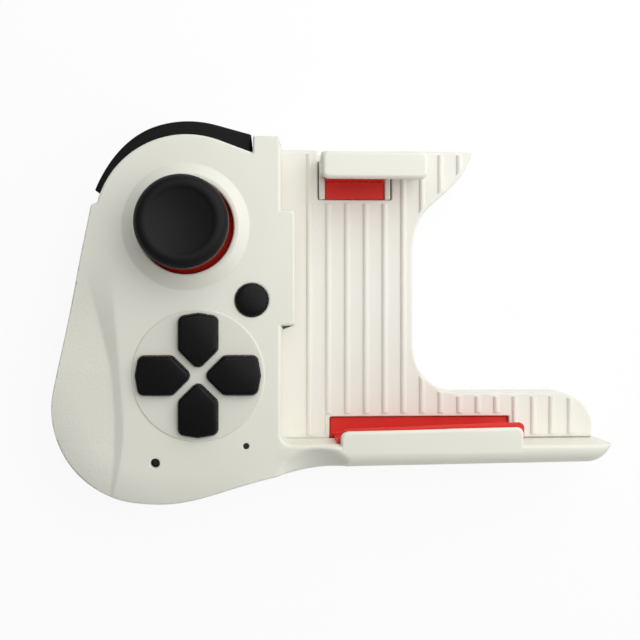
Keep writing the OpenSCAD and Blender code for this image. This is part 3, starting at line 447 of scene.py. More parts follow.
def railField(x, y, up, rise):
    # up is counted from the parting face, the last stretch shrinks to a rounded tip
    start = grip["railTip"] - grip["tipRun"]
    s = np.sqrt(np.clip(1 - (np.clip(x - start, 0, grip["tipRun"]) / grip["tipRun"]) ** 2, 0.003, 1))
    pocket, keep = grip["pocket"], grip["tipKeep"]
    width = grip["railWidth"] - grip["railTaper"] * (x - pocket) / (grip["railTip"] - pocket)
    v, u = (y - grip["foot"]) / s, up / (keep + (1 - keep) * s)
    f = roundMax(-v - width, u - rise, grip["railRound"])
    f = roundMax(f, v + grip["railLean"] * np.maximum(u, 0), 0.8)
    f = np.maximum(f * s, pocket - 1 - x)
    return roundMax(f, x - grip["railTip"], 0.05)


farOut = 90.0
roofHub = polar(crown, -trigger["lean"], grip["shoulder"])
flareTop = polar(roofHub, trigger["roof"], trigger["flare"])
triggerOutside = (
    arc(roofHub, trigger["roof"], trigger["flare"], trigger["roofAngle"], 30)
    + [pastTangent(roofHub, trigger["roof"], trigger["roofAngle"], grip["triggerRight"]),
       (grip["triggerRight"], crown[1] + farOut), (crown[0] - farOut, crown[1] + farOut),
       polar(flareTop, farOut, trigger["flareWay"])])
voidIn, voidOut = trigger["inner"] - trigger["sweep"], trigger["roof"] + trigger["roofRoom"]
triggerInside = (
    arc(roofHub, voidIn, trigger["voidLeft"], trigger["roofAngle"], 30)
    + [pastTangent(roofHub, voidIn, trigger["roofAngle"], grip["triggerRight"]),
       pastTangent(roofHub, voidOut, trigger["roofAngle"], grip["triggerRight"])]
    + arc(roofHub, voidOut, trigger["roofAngle"], trigger["voidLeft"], 30))


def socketRoom(x, y, z):
    middle, wide, room = socket["x"], socket["half"] + socket["room"], socket["room"]
    return bar(x, y, z, (middle - wide, -farOut, socket["low"] - room),
               (middle + wide, socket["deep"] - grip["wall"], socket["high"] + room), 0.2, 0.9)


def keyHoles(x, y):
    dx, dy = x - grip["pad"][0], y - grip["pad"][1]
    turns = [keyPlan(c * dx + s * dy, c * dy - s * dx) for c, s in quarters]
    return key["gap"] - np.minimum.reduce(turns)


def lipField(x, y, z):
    # shelf over the phone's edge, flush with the top of the rail
    middle, half = rest["lipX"] + rest["lipLength"] / 2, rest["lipLength"] / 2
    inner = grip["foot"] + rest["lipReach"] + rest["lipSkew"] * (x - middle) / half
    f = roundMax(np.abs(x - middle) - half, y - inner, 1.8)
    f = roundMax(f, z - grip["seat"] - grip["railRise"], 0.8)
    return roundMax(np.maximum(f, grip["foot"] - 2 - y), jaw["lipTop"] - jaw["lipThick"] - z, 0.4)


def frontField(x, y, z):
    plan = gripPlan(x, y)
    drop = outerDrop(x, y, plan)
    side = plan + grip["draft"] * np.clip((z - grip["seat"]) / grip["draftRun"], 0, 1)
    f = ovalRim(side, z - grip["face"] + drop, grip["rimWidth"], grip["rimDepth"])
    f = np.maximum(f, x - grip["join"][0])
    pocket = roundMax(grip["pocket"] - x, grip["foot"] - y, grip["pocketCorner"])
    f = roundMax(f, -pocket, 0.7)
    climb = np.clip((x - grip["climbFrom"]) / grip["climbRun"], 0, 1)
    rise = grip["railStart"] + (grip["railRise"] - grip["railStart"]) * climb
    f = roundMin(f, railField(x, y, z - grip["seat"], rise), 0.8)
    scoop = grip["scoop"]
    bowl = np.sqrt((x - scoop[0]) ** 2 + (y - scoop[1]) ** 2 + (z - scoop[2]) ** 2) - grip["scoopRadius"]
    f = roundMax(f, -bowl, 1.2)
    f = np.minimum(f, lipField(x, y, z))
    catch = bar(x, y, z, (grip["pocket"] - 1, tab["low"], tab["under"]),
                (grip["pocket"] + tab["reach"], tab["high"], grip["face"]), 1.2, 0.4)
    f = np.minimum(f, catch)
    stick = grip["stick"]
    r = np.hypot(x - stick[0], y - stick[1])
    low, high = grip["collarCore"]
    f = np.minimum(f, np.maximum(r - grip["collarFlat"], np.abs(z - (low + high) / 2) - (high - low) / 2))
    wall = grip["wall"]
    inside = ovalRim(plan + wall, z - grip["ceiling"] + drop, grip["rimWidth"], grip["rimDepth"] - 1)
    inside = roundMax(inside, x - grip["pocket"] + wall, 0.5)
    sweep = outlineDistance(triggerInside, x, y)
    roof = trigger["high"] + trigger["gap"]
    inside = np.maximum(inside, -np.maximum(sweep, roof - z))  # solid over the trigger
    f = np.maximum(f, -inside)
    f = np.maximum(f, grip["stickHole"] + 0.4 - r)  # the true edges here are those of the ring and the disc
    f = np.maximum(f, keyHoles(x, y) + 0.3)
    button, light, reset = grip["button"], grip["light"], grip["reset"]
    f = roundMax(f, grip["buttonHole"] - np.hypot(x - button[0], y - button[1]), 0.3)
    f = roundMax(f, grip["lightHole"] - np.hypot(x - light[0], y - light[1]), 0.12)
    f = roundMax(f, grip["resetHole"] - np.hypot(x - reset[0], y - reset[1]), 0.2)
    f = roundMax(f, -outlineDistance(triggerOutside, x, y), 0.45)
    f = np.maximum(f, -np.maximum(sweep, z - roof))
    f = roundMax(f, -socketRoom(x, y, z), 0.3)
    return roundMax(f, grip["seat"] + 0.02 - z, grip["seam"])


smallHoles = ((grip["light"], 1.4, 0.2), (grip["reset"], 1.8, 0.25))  # finer grid round them and near the top
closeX, closeY = ([(at[i] - far, at[i] + far, step) for at, far, step in smallHoles] for i in (0, 1))
gripFront = makePiece("grip_front", *skin(
    frontField, *boxed(grip["box"], grip["seat"], jaw["lipTop"]), 0.52,
    (closeX, closeY, [(20.6, 24.2, 0.4)])))
spot = np.empty(len(gripFront.data.vertices) * 3)
gripFront.data.vertices.foreach_get("co", spot)
out, width = pastCrease(*(spot.reshape(-1, 3)[:, :2] / mm).T)
texture = gripFront.data.attributes.new("texture", "FLOAT", "POINT")
texture.data.foreach_set("value", flank["fine"] + (1 - flank["fine"]) * np.clip(out - width, 0, 1))
dress(gripFront, faceAbs, "housing", "white_abs", "front_shell")

# ring round the stick is turned, so that its edges stay crisp
ring = {"low": 20.1, "edge": 0.5, "soft": 0.35, "softBack": 0.15, "softEnd": 57, "footLow": 20.6,
        "fade": ((-0.12, 0.1), (0.05, 0.02), (0.3, -0.02))}
hole, flat, top = grip["stickHole"], grip["collarFlat"], grip["collarTop"]
edge, soft = ring["edge"], ring["soft"]
footing = [(grip["collarFoot"] + out, grip["face"] + up) for out, up in ring["fade"]]
ringLine = (
    [(hole, ring["low"])] + arc((hole + edge, top - edge), edge, 180, 90, 8)
    + arc((flat - ring["softBack"], top - soft), soft, 90, ring["softEnd"], 5)
    + footing + [(footing[-1][0], ring["footLow"])])
dress(makePiece("stick_ring", *turned(ringLine[::-1], grip["stick"], 192, ring=True)),
      whiteAbs, "housing", "white_abs")


def discField(x, y, z):
    # thin disc that the keys stand in
    r = np.hypot(x - grip["pad"][0], y - grip["pad"][1]) - grip["disc"]
    f = roundMax(r, z - grip["discTop"], 0.2)
    return roundMax(np.maximum(f, grip["discLow"] - z), keyHoles(x, y), 0.15)


px, py, reach = *grip["pad"], grip["disc"]
discBox = ((px - reach, py - reach), (px + reach, py + reach))
# the disc takes the polished white whose darker colour is painted shade
dress(makePiece("key_disc", *skin(discField, *boxed(discBox, grip["discLow"], grip["discTop"]), 0.3)),
      glossShadedAbs, "housing", "white_abs")


# Back of the grip and the tray behind the cradle

cradle = {"left": -13.8, "armX": 66.9, "armRadius": 8.8, "armY": -19.2, "spine": 21.1, "notch": 12.0,
          "wingFoot": 17.0, "wingRise": 13.0, "wing": 36.3, "wingPull": (3.6, 12.5), "room": 0.1,
          "ribStart": -5.7, "ribPitch": 4.72, "ribCount": 15, "ribWidth": 1.7, "ribSpread": 0.05,
          "ribHeight": 0.6, "ribEdge": 1.0, "ribSink": 0.4, "clip": (0.6, 3.0), "ribCrease": 0.7,
          "boss": 2.4, "bossLow": 2.1, "bossRoom": 0.2}
springs = {"places": (1.5, 11.5), "fixedPeg": -26.0, "fixedSpan": (1.0, 6.5), "freePeg": -2.5,
           "freeSpan": (2.6, 7.0), "peg": 0.9, "fixedEnd": -24.0, "freeEnd": -4.5, "level": 3.7}
shellScrews = [(-57.5, -13.0), (-47.2, -38.4), (-16.4, -34.8), (-16.2, 38.9), (-53.8, 10.0)]
plateScrews = [(-7.5, 37.0), (26.7, 36.5), (-7.5, -22.0), (56.6, -24.5)]
backScrew = {"level": 4.6, "head": 2.2, "tall": 1.6, "shank": 1.1, "length": 12.4}
trayScrew = {"level": 1.4, "head": 1.6, "tall": 1.1, "shank": 0.8, "length": 8.0}
headRoom = 0.2


def cradleLine(left):
    c, wing, pull = cradle, (cradle["wing"], grip["top"]), cradle["wingPull"]
    return (
        [(left, grip["foot"]), (c["armX"], grip["foot"])]
        + arc((c["armX"] - c["armRadius"], c["armY"] - c["armRadius"]), c["armRadius"], 0, 90, 16)
        + arc((c["spine"] + c["notch"], c["armY"] + c["notch"]), c["notch"], 270, 180, 16)
        + [(c["spine"], c["wingFoot"])]
        + bezier([(c["spine"], c["wingFoot"]), (c["spine"], c["wingFoot"] + c["wingRise"]),
                  (wing[0] - pull[0], wing[1] - pull[1]), wing], 16)
        + [(left, grip["top"])])


trayLine = cradleLine(grip["pocket"] + grip["blockStep"])
trayRoom = inset(trayLine, grip["wall"])
plateLine = cradleLine(cradle["left"])
plateRoom = inset(plateLine, -cradle["room"])
windowEnd = (rest["windowX"] + rest["windowLength"], grip["foot"] + rest["windowWidth"])


def rearField(x, y, z):
    plan = gripPlan(x, y)
    outer = np.maximum(ovalRim(plan, -z, grip["backRound"], grip["backRound"]), x - grip["join"][0])
    tray = roundMax(roundMax(outlineDistance(trayLine, x, y), -z, 1.0), z - grip["plate"], 0.25)
    rail = railField(x, y, grip["seat"] - z, grip["seat"])
    f = np.maximum(roundMin(roundMin(outer, tray, 0.8), rail, 0.8), -z)
    wall = grip["wall"]
    inner = grip["backRound"] - wall
    hollow = np.maximum(ovalRim(plan + wall, wall - z, inner, inner), x - grip["join"][0] + wall)
    hollow = np.minimum(hollow, np.maximum(outlineDistance(trayRoom, x, y), wall - z))
    f = np.maximum(f, -hollow)
    for at in shellScrews:
        f = np.minimum(f, np.maximum(post(x, y, z, at, grip["postRadius"], 1, grip["ceiling"], 0.1), outer))
    guide, guideTop = jaw["guide"], grip["top"] - 1
    for at in (jaw["left"] - jaw["gap"] - guide, jaw["right"] + jaw["gap"] + guide):
        f = np.minimum(f, bar(x, y, z, (at - guide, jaw["guideEnd"], 1),
                              (at + guide, guideTop, grip["plate"]), 0.1, 0.1))
    track = jaw["track"]
    f = np.minimum(f, bar(x, y, z, (track[0], jaw["guideEnd"] + 2, 1),
                          (track[1], guideTop, jaw["tongueLow"] - jaw["gap"]), 0.1, 0.1))
    for at in springs["places"]:
        peg = post(x, y, z, (at, springs["fixedPeg"]), springs["peg"], *springs["fixedSpan"], 0.1)
        f = np.minimum(f, peg)
    ledge = bar(x, y, z, (rest["windowX"], grip["foot"] - 0.5, rest["ledge"]),
                (*windowEnd, grip["plate"]), 0.1, 0.1)
    f = np.minimum(f, ledge)
    f = np.maximum(f, -np.maximum(outlineDistance(plateRoom, x, y), grip["plate"] - z))
    for at in shellScrews:
        f = roundMax(f, -post(x, y, z, at, backScrew["head"] + headRoom, -5, backScrew["level"], 0.05), 0.6)
    for at in plateScrews:
        f = roundMax(f, -post(x, y, z, at, trayScrew["head"] + headRoom, -5, trayScrew["level"], 0.05), 0.5)
        f = np.maximum(f, -post(x, y, z, at, cradle["boss"] + cradle["bossRoom"], wall, 12, 0.05))
    void = np.minimum(outlineDistance(triggerOutside, x, y), outlineDistance(triggerInside, x, y))
    f = roundMax(f, -np.maximum(void, trigger["low"] - trigger["gap"] - z), 0.6)
    f = roundMax(f, -socketRoom(x, y, z), 0.3)
    slot = bar(x, y, z, (jaw["left"] - jaw["gap"], grip["top"] - wall - 0.5, jaw["tongueLow"] - jaw["gap"]),
               (jaw["right"] + jaw["gap"], grip["top"] + 3, 20), 0.1, 0.3)
    f = roundMax(f, -slot, 0.2)
    return roundMax(f, z - grip["seat"] + 0.02, grip["seam"])


edgeBand = (5.9, 7.5, 0.3)  # finer grid at the edge under the trigger
dress(makePiece("grip_back", *skin(
    rearField, *boxed(grip["box"], 0, grip["seat"]), 0.6, ((), (), (edgeBand,)))),
      whiteAbs, "housing", "white_abs", "rear_shell")


# Cradle floor, its ribs follow in a node tree

def plateField(x, y, z):
    f = roundMax(outlineDistance(plateLine, x, y), z - grip["seat"], 0.45)
    f = roundMax(f, grip["plate"] + 0.02 - z, 0.2)
    for at in plateScrews:
        f = np.minimum(f, post(x, y, z, at, cradle["boss"], cradle["bossLow"], 9, 0.1))
    gap = jaw["gap"]
    slot = bar(x, y, z, (jaw["left"] - gap, jaw["slot"], -5), (jaw["right"] + gap, 60, 30), 0.4, 0.1)
    f = roundMax(f, -slot, 0.3)
    window = bar(x, y, z, (rest["windowX"], -50, -5), (*windowEnd, 30), 0.4, 0.1)
    f = roundMax(f, -window, 0.3)
    return roundMax(f, -outlineDistance(tab["room"], x, y), 0.2)


plateBox = ((cradle["left"], grip["foot"]), (cradle["armX"], grip["top"]))
# the floor takes the white whose lighter colour is painted light
dress(makePiece("cradle_floor", *skin(plateField, *boxed(plateBox, cradle["bossLow"], grip["seat"]), 0.45)),
      plateLitAbs, "housing", "white_abs", "cradle_plate")


def groupInput(tree, name, kind, value=None):
    item = tree.interface.new_socket(name, in_out="INPUT", socket_type=kind)
    if value is not None:
        item.default_value = value


def newTree(name, sizes):
    tree = bpy.data.node_groups.new(name, "GeometryNodeTree")
    tree.interface.new_socket("Geometry", in_out="OUTPUT", socket_type="NodeSocketGeometry")
    groupInput(tree, "Geometry", "NodeSocketGeometry")
    for label, (kind, value) in sizes.items():
        groupInput(tree, label, kind, value)
    return tree, addNode(tree, "NodeGroupInput").outputs


def runTree(name, tree, mesh, values):
    # the tree's result becomes a plain mesh
    source = bpy.data.objects.new(name + "_source", mesh)
    bpy.context.collection.objects.link(source)
    modifier = source.modifiers.new("tree", "NODES")
    modifier.node_group = tree
    for item in tree.interface.items_tree:
        if item.in_out == "INPUT" and item.name in values:
            modifier[item.identifier] = values[item.name]
    graph = bpy.context.evaluated_depsgraph_get()
    result = bpy.data.meshes.new_from_object(source.evaluated_get(graph))
    source.modifiers.remove(modifier)
    bpy.data.objects.remove(source)
    piece = bpy.data.objects.new(name, result)
    result.name = name
    bpy.context.collection.objects.link(piece)
    print(name, len(result.polygons), "faces from its tree")
    return piece


def prism(name, points, low, high):
    n = len(points)
    corners = [(p[0], p[1], low) for p in points] + [(p[0], p[1], high) for p in points]
    sides = [(i, (i + 1) % n, n + (i + 1) % n, n + i) for i in range(n)]
    return makePiece(name, corners, None, sides + [list(range(n))[::-1], list(range(n, 2 * n))])


inner = [tuple(p) for p in inset(plateLine, cradle["ribEdge"])]
edge, floorY = cradle["ribEdge"], grip["foot"] + cradle["ribEdge"]
windowLeft, windowRight, windowTop = rest["windowX"] - edge, windowEnd[0] + edge, windowEnd[1] + edge
slotLeft, slotRight, slotLow = jaw["left"] - 2 * edge, jaw["right"] + edge, jaw["slot"] - edge
slotTop = inner[-1][1]
clipLine = (
    [inner[0], (windowLeft, floorY), (windowLeft, windowTop), (windowRight, windowTop), (windowRight, floorY)]
    + inner[1:-1]
    + [(slotRight, slotTop), (slotRight, slotLow), (slotLeft, slotLow), (slotLeft, slotTop), inner[-1]])
ribClip = prism("rib_clip", clipLine, grip["seat"] - cradle["clip"][0], grip["seat"] + cradle["clip"][1])

ribHalf, ribTall = cradle["ribWidth"] / 2, cradle["ribHeight"] + cradle["ribSink"]
ribTree, ribIn = newTree("cradle ribs", {
    "Count": ("NodeSocketInt", cradle["ribCount"]),
    "Pitch": ("NodeSocketVector", (cradle["ribPitch"] * mm, 0, 0)),
    "Start": ("NodeSocketVector", ((cradle["ribStart"] + ribHalf) * mm, grip["foot"] * mm,
                                   (grip["seat"] - cradle["ribSink"]) * mm)),
    "Length": ("NodeSocketVector", (0, (grip["top"] - grip["foot"]) * mm, 0)),
    "Section": ("NodeSocketVector", (ribHalf + cradle["ribSpread"], ribTall, 1.0)),
    "Clip": ("NodeSocketObject", None), "Material": ("NodeSocketMaterial", None)})
path = addNode(ribTree, "GeometryNodeCurvePrimitiveLine", {"Start": (0, 0, 0), "End": ribIn["Length"]})
shape = addNode(ribTree, "GeometryNodeCurvePrimitiveCircle", {"Resolution": 32, "Radius": mm})
shape = addNode(ribTree, "GeometryNodeTransform", {"Geometry": shape.outputs[0], "Scale": ribIn["Section"]})
rib = addNode(ribTree, "GeometryNodeCurveToMesh", {
    "Curve": path.outputs[0], "Profile Curve": shape.outputs[0], "Fill Caps": True})
row = addNode(ribTree, "GeometryNodeMeshLine", {
    "Count": ribIn["Count"], "Start Location": ribIn["Start"], "Offset": ribIn["Pitch"]})
ribs = addNode(ribTree, "GeometryNodeInstanceOnPoints", {
    "Points": row.outputs[0], "Instance": rib.outputs[0]})
ribs = addNode(ribTree, "GeometryNodeRealizeInstances", {"Geometry": ribs.outputs[0]})
limit = addNode(ribTree, "GeometryNodeObjectInfo", {"Object": ribIn["Clip"]})
ribs = addNode(ribTree, "GeometryNodeMeshBoolean", {
    "Mesh 2": ribs.outputs[0]}, operation="INTERSECT", solver="EXACT")
ribTree.links.new(limit.outputs["Geometry"], ribs.inputs["Mesh 2"])
bend = addNode(ribTree, "GeometryNodeInputMeshEdgeAngle")
gentle = addNode(ribTree, "FunctionNodeCompare", {
    "A": bend.outputs[0], "B": cradle["ribCrease"]}, operation="LESS_THAN")
ribs = addNode(ribTree, "GeometryNodeSetShadeSmooth", {
    "Geometry": ribs.outputs[0], "Shade Smooth": gentle.outputs[0]}, domain="EDGE")
ribs = addNode(ribTree, "GeometryNodeSetMaterial", {
    "Geometry": ribs.outputs[0], "Material": ribIn["Material"]})
addNode(ribTree, "NodeGroupOutput", {"Geometry": ribs.outputs[0]})
# the ribs take the same white, with its painted light
cradleRibs = runTree("cradle_ribs", ribTree, bpy.data.meshes.new("empty"), {
    "Clip": ribClip, "Material": plateLitAbs})
bpy.data.objects.remove(ribClip)
dress(cradleRibs, plateLitAbs, "housing", "white_abs")


# Screws on the back: one screw with a cross recess, set out by a node tree

recess = {"reach": 0.58, "width": 0.17, "floor": 0.45}  # shares of the head's radius and height


def screwField(x, y, z, head, tall, shank, length):
    r = np.hypot(x, y)
    f = roundMax(r - head, np.abs(z + tall / 2) - tall / 2, 0.3)
    f = roundMin(f, roundMax(r - shank, np.abs(z - length / 2) - length / 2, 0.1), 0.1)
    wide, narrow = head * recess["reach"], head * recess["width"]
    u, v = np.abs(x), np.abs(y)
    cross = np.minimum(np.maximum(u - wide, v - narrow), np.maximum(v - wide, u - narrow))
    return roundMax(f, -np.maximum(cross, z + tall * recess["floor"]), 0.06)


def setScrews(name, node, places, level, head, tall, shank, length):
    unit = makePiece(name + "_unit", *skin(
        lambda x, y, z: screwField(x, y, z, head, tall, shank, length),
        (-head, -head, -tall), (head, head, length), 0.14))
    tree, given = newTree(name, {
        "Screw": ("NodeSocketObject", None), "Material": ("NodeSocketMaterial", None)})
    model = addNode(tree, "GeometryNodeObjectInfo", {"Object": given["Screw"]})
    spread = addNode(tree, "GeometryNodeMeshToPoints", {"Mesh": given["Geometry"]})
    turn = addNode(tree, "FunctionNodeRandomValue", {"Min": (0, 0, 0), "Max": (0, 0, 1.57), "Seed": 7},
                   data_type="FLOAT_VECTOR")
    screws = addNode(tree, "GeometryNodeInstanceOnPoints", {
        "Points": spread.outputs[0], "Instance": model.outputs["Geometry"], "Rotation": turn.outputs[0]})
    screws = addNode(tree, "GeometryNodeRealizeInstances", {"Geometry": screws.outputs[0]})
    screws = addNode(tree, "GeometryNodeSetMaterial", {
        "Geometry": screws.outputs[0], "Material": given["Material"]})
    addNode(tree, "NodeGroupOutput", {"Geometry": screws.outputs[0]})
    mesh = bpy.data.meshes.new(name + "_places")
    mesh.from_pydata([(p[0] * mm, p[1] * mm, level * mm) for p in places], [], [])
    screws = runTree(name, tree, mesh, {"Screw": unit, "Material": zincScrew})
    bpy.data.objects.remove(unit)
    dress(screws, zincScrew, "housing", "zinc_screw", node)


setScrews("back_screws", "shell_screws", shellScrews, **backScrew)
setScrews("tray_screws", "plate_screws", plateScrews, **trayScrew)


# Upper jaw and the two pads

def jawField(x, y, z):
    j = jaw
    left, right, outer = j["left"], j["right"], j["outer"]
    lipLeft = left + j["lipShy"]
    lipRight, face = lipLeft + j["length"], outer - j["wall"]
    f = bar(x, y, z, (left, j["tongueEnd"], j["tongueLow"]), (right, outer, j["tongueHigh"]), 0.6, 0.4)
    block = bar(x, y, z, (left, j["slot"] + j["rest"], j["blockLow"]), (right, outer, grip["seat"]),
                0.3, 0.35)
    f = roundMin(f, block, 0.3)
    wall = bar(x, y, z, (lipLeft, face, j["wallLow"]), (right, outer, j["wallTop"]), 0.4, 0.3)
    end = bar(x, y, z, (lipLeft, face, j["endLow"]), (lipRight, outer, j["wallTop"]), 0.6, 0.4)
    f = roundMin(roundMin(f, wall, 0.3), end, 0.3)
    lip = bar(x, y, z, (lipLeft, outer - j["depth"], j["lipTop"] - j["lipThick"]),
              (lipRight, outer, j["lipTop"]), 1.6, 0.95)
    f = roundMin(f, lip, 0.4)
    tray = bar(x, y, z, (left + j["trayLeft"], j["slot"] - 3, grip["seat"] - j["traySink"]),
               (right - j["trayRight"], face, 13), 0.3, 0.05)
    f = roundMax(f, -tray, 0.2)
    for at in springs["places"]:
        peg = post(x, y, z, (at, springs["freePeg"]), springs["peg"], *springs["freeSpan"], 0.1)
        f = np.minimum(f, peg)
    return np.maximum(f, np.maximum(np.maximum(left - x, x - lipRight), y - outer))


jawBox = ((jaw["left"], jaw["tongueEnd"]), (jaw["left"] + jaw["lipShy"] + jaw["length"], jaw["outer"]))
dress(makePiece("upper_jaw_slide", *skin(
    jawField, *boxed(jawBox, springs["freeSpan"][0], jaw["lipTop"]), 0.36)),
      whiteAbs, "jaw", "white_abs", "upper_jaw")

upperPad = {"left": jaw["left"] + jaw["trayLeft"] + jaw["rest"],
            "right": jaw["right"] - jaw["trayRight"] - jaw["rest"], "low": 9.6, "floor": 10.6,
            "faceLow": 10.1, "top": 21.78, "thick": 1.2, "groove": 0.18, "pitch": 1.65}


def upperPadField(x, y, z):
    p = upperPad
    left, right, face = p["left"], p["right"], jaw["outer"] - jaw["wall"]
    f = bar(x, y, z, (left, jaw["slot"] + jaw["rest"], p["low"]), (right, face, p["floor"]), 0.4, 0.25)
    groove = p["groove"] * (0.5 - 0.5 * np.cos(2 * np.pi * (x - left) / p["pitch"])) ** 3
    wall = bar(x, y + groove, z, (left, face - p["thick"], p["faceLow"]), (right, face, p["top"]), 0.3, 0.3)
    f = roundMin(f, wall, 0.4)
    return np.maximum(f, np.maximum(np.maximum(left - x, x - right), y - face))


padBox = ((upperPad["left"], jaw["slot"]), (upperPad["right"], jaw["outer"] - jaw["wall"]))
dress(makePiece("upper_liner", *skin(upperPadField, *boxed(padBox, upperPad["low"], upperPad["top"]), 0.22)),
      redRubber, "jaw", "red_rubber", "upper_pad")

lowerPad = {"left": 0.35, "right": 45.45, "low": 8.5, "floor": 10.0, "width": 5.35, "faceLeft": 1.35,
            "faceLow": 9.5, "top": 21.3, "thick": 1.2, "leafLevel": 21.29, "leafHalf": 0.49, "leafRound": 1.4,
            "leaf": ((2.1, -30.6), (46.6, -30.6), (46.6, -25.5), (2.1, -27.0))}


def lowerPadField(x, y, z):
    p, foot = lowerPad, grip["foot"]
    f = bar(x, y, z, (p["left"], foot, p["low"]), (p["right"], foot + p["width"], p["floor"]), 0.4, 0.3)
    face = bar(x, y, z, (p["faceLeft"], foot, p["faceLow"]),
               (p["right"], foot + p["thick"], p["top"]), 0.3, 0.3)
    f = roundMin(f, face, 0.5)
    leaf = outlineDistance(inset(p["leaf"], p["leafRound"]), x, y) - p["leafRound"]
    leaf = np.maximum(leaf, foot - y)
    return roundMin(f, roundMax(leaf, np.abs(z - p["leafLevel"]) - p["leafHalf"], 0.35), 0.3)


padBox = ((lowerPad["left"], grip["foot"]), (lowerPad["leaf"][2][0], windowEnd[1]))
padTop = lowerPad["leafLevel"] + lowerPad["leafHalf"]
dress(makePiece("lower_liner", *skin(lowerPadField, *boxed(padBox, lowerPad["low"], padTop), 0.3)),
      redRubber, "housing", "red_rubber", "lower_pad")


# Arrow keys: one form turned four ways

def keyField(x, y, z):
    plan = keyPlan(x, y)
    middle = (key["tip"] + key["reach"]) / 2
    top = np.sqrt((x - middle) ** 2 + y**2 + (z - key["top"] + key["crown"]) ** 2) - key["crown"]
    f = roundMax(roundMax(plan, top, 0.7), key["flange"] - z, 0.1)
    thick = key["flangeThick"] / 2
    return np.minimum(f, np.maximum(plan - key["flangeEdge"], np.abs(z - key["flange"] - thick) - thick))


keyPoints, keyNormals, keyFaces = skin(keyField, *boxed(key["box"], key["flange"], key["top"]), 0.24)
for (c, s), name in zip(quarters, arrowKeys):
    spin = np.array([[c, s, 0], [-s, c, 0], [0, 0, 1]], float)
    place = keyPoints @ spin + (grip["pad"][0], grip["pad"][1], 0)
    dress(makePiece("cap_" + name, place, keyNormals @ spin, keyFaces), blackAbs, name, "black_abs", name)


# Round button

button = {"radius": 3.85, "hub": 0.3, "top": 23.0, "crown": 40.0, "edge": 0.6, "edgeEnd": 82,
          "flange": (18.5, 19.7), "flangeRadius": 4.65, "press": 0.9}
shoulder = button["top"] - button["radius"] ** 2 / (2 * button["crown"])
rim = arc((button["radius"] - button["edge"], shoulder - button["edge"]), button["edge"], 0,
          button["edgeEnd"], 8)
dome = [(r, button["top"] - r * r / (2 * button["crown"])) for r in (2.6, 1.8, 1.0, button["hub"])]
wide, (low, high) = button["flangeRadius"], button["flange"]
buttonLine = [(button["hub"], low), (wide, low), (wide, high), (button["radius"], high)] + rim + dome
dress(makePiece("cap_select", *turned(buttonLine, grip["button"], 96)),
      blackAbs, "select", "black_abs", "select_button")


# Silicone mat: a thin sheet, and under each key a dome of fixed shape; on the real mat the dome gives when
# the key is pressed

mat = {"low": 14.6, "high": 15.4, "radius": 13.02, "bridge": 2.5, "domeReach": 8.02, "domeTop": 18.375,
       "domeFoot": 4.2, "domeCrest": 3.2, "domeEdge": 0.2, "box": ((-44.7, -27.1), (-14.3, 8.5))}


def matField(x, y, z):
    (ax, ay), (bx, by) = grip["pad"], grip["button"]
    far = math.hypot(bx - ax, by - ay)
    c, s = (bx - ax) / far, (by - ay) / far
    along, across = c * (x - ax) + s * (y - ay), c * (y - ay) - s * (x - ax)
    f = np.maximum(np.abs(along - far / 2) - far / 2, np.abs(across) - mat["bridge"])
    f = np.minimum(f, np.hypot(x - ax, y - ay) - mat["radius"])
    f = np.minimum(f, np.hypot(x - bx, y - by) - button["flangeRadius"])
    return roundMax(f, np.abs(z - (mat["low"] + mat["high"]) / 2) - (mat["high"] - mat["low"]) / 2, 0.1)


dress(makePiece("mat_sheet", *skin(matField, *boxed(mat["box"], mat["low"], mat["high"]), 0.4)),
      silicone, "housing", "silicone", "key_mat")
domes = {name: (polar(grip["pad"], mat["domeReach"], 90 * turn), key["press"])
         for turn, name in enumerate(arrowKeys)}
domes["select"] = (grip["button"], button["press"])
tall, edge = mat["domeTop"] - mat["high"], mat["domeEdge"]
for name, (at, press) in domes.items():
    matDome = makePiece("mat_dome_" + name, *turned(
        [(mat["domeFoot"], mat["high"]), (mat["domeCrest"] + edge / 2, mat["domeTop"] - edge),
         (mat["domeCrest"] - edge, mat["domeTop"])], at, 48))
    dress(matDome, silicone, "housing", "silicone")
    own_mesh(matDome)


# Stick cap and dust dome

stick = {"pivot": 8.6, "domeRadius": 14.99, "domeThick": 1.2, "domeCrest": 84, "rimAngle": 68, "neck": 3.6,
         "neckFoot": 14.6, "radius": 10.65, "low": 28.5, "top": 35.0, "belly": 2.4, "bellyTop": 2.6,
         "rim": 2.2, "rimEnd": 125, "dish": 1.5, "shaft": 1.5}
top, low, radius, neck = stick["top"], stick["low"], stick["radius"], stick["neck"]
under = radius - stick["belly"]
dishEdge, dishTop = polar((radius - stick["rim"], top - stick["rim"]), stick["rim"], stick["rimEnd"])
capLine = (
    [(stick["shaft"], stick["pivot"] + stick["domeRadius"] - 0.1), (neck, stick["pivot"] + stick["neckFoot"]),
     (neck, low - 0.6), (neck + 0.2, low + 0.1), (neck + 0.8, low + 0.3), (under, low)]
    + bezier([(under, low), (radius - 0.6, low), (radius, low + 0.9), (radius, low + stick["bellyTop"])], 10)
    + arc((radius - stick["rim"], top - stick["rim"]), stick["rim"], 0, stick["rimEnd"], 20)
    + [(r * dishEdge, top - stick["dish"] + (dishTop - top + stick["dish"]) * r * r)
       for r in (0.985, 0.94, 0.86, 0.75, 0.6, 0.45, 0.3, 0.15, 0.03)])
dress(makePiece("stick_grip", *turned(capLine, grip["stick"])),
      gripRubber, "stick", "stick_rubber", "stick_cap")

centre, crest, hem = (0.0, stick["pivot"]), stick["domeCrest"], 90 - stick["rimAngle"]
domeLine = (
    arc(centre, stick["domeRadius"] - stick["domeThick"], crest, hem, 20)
    + arc(centre, stick["domeRadius"], hem, crest, 28))
dress(makePiece("dust_dome", *turned(domeLine, grip["stick"])), redAbs, "stick", "red_abs", "stick_dome")


# Shoulder trigger

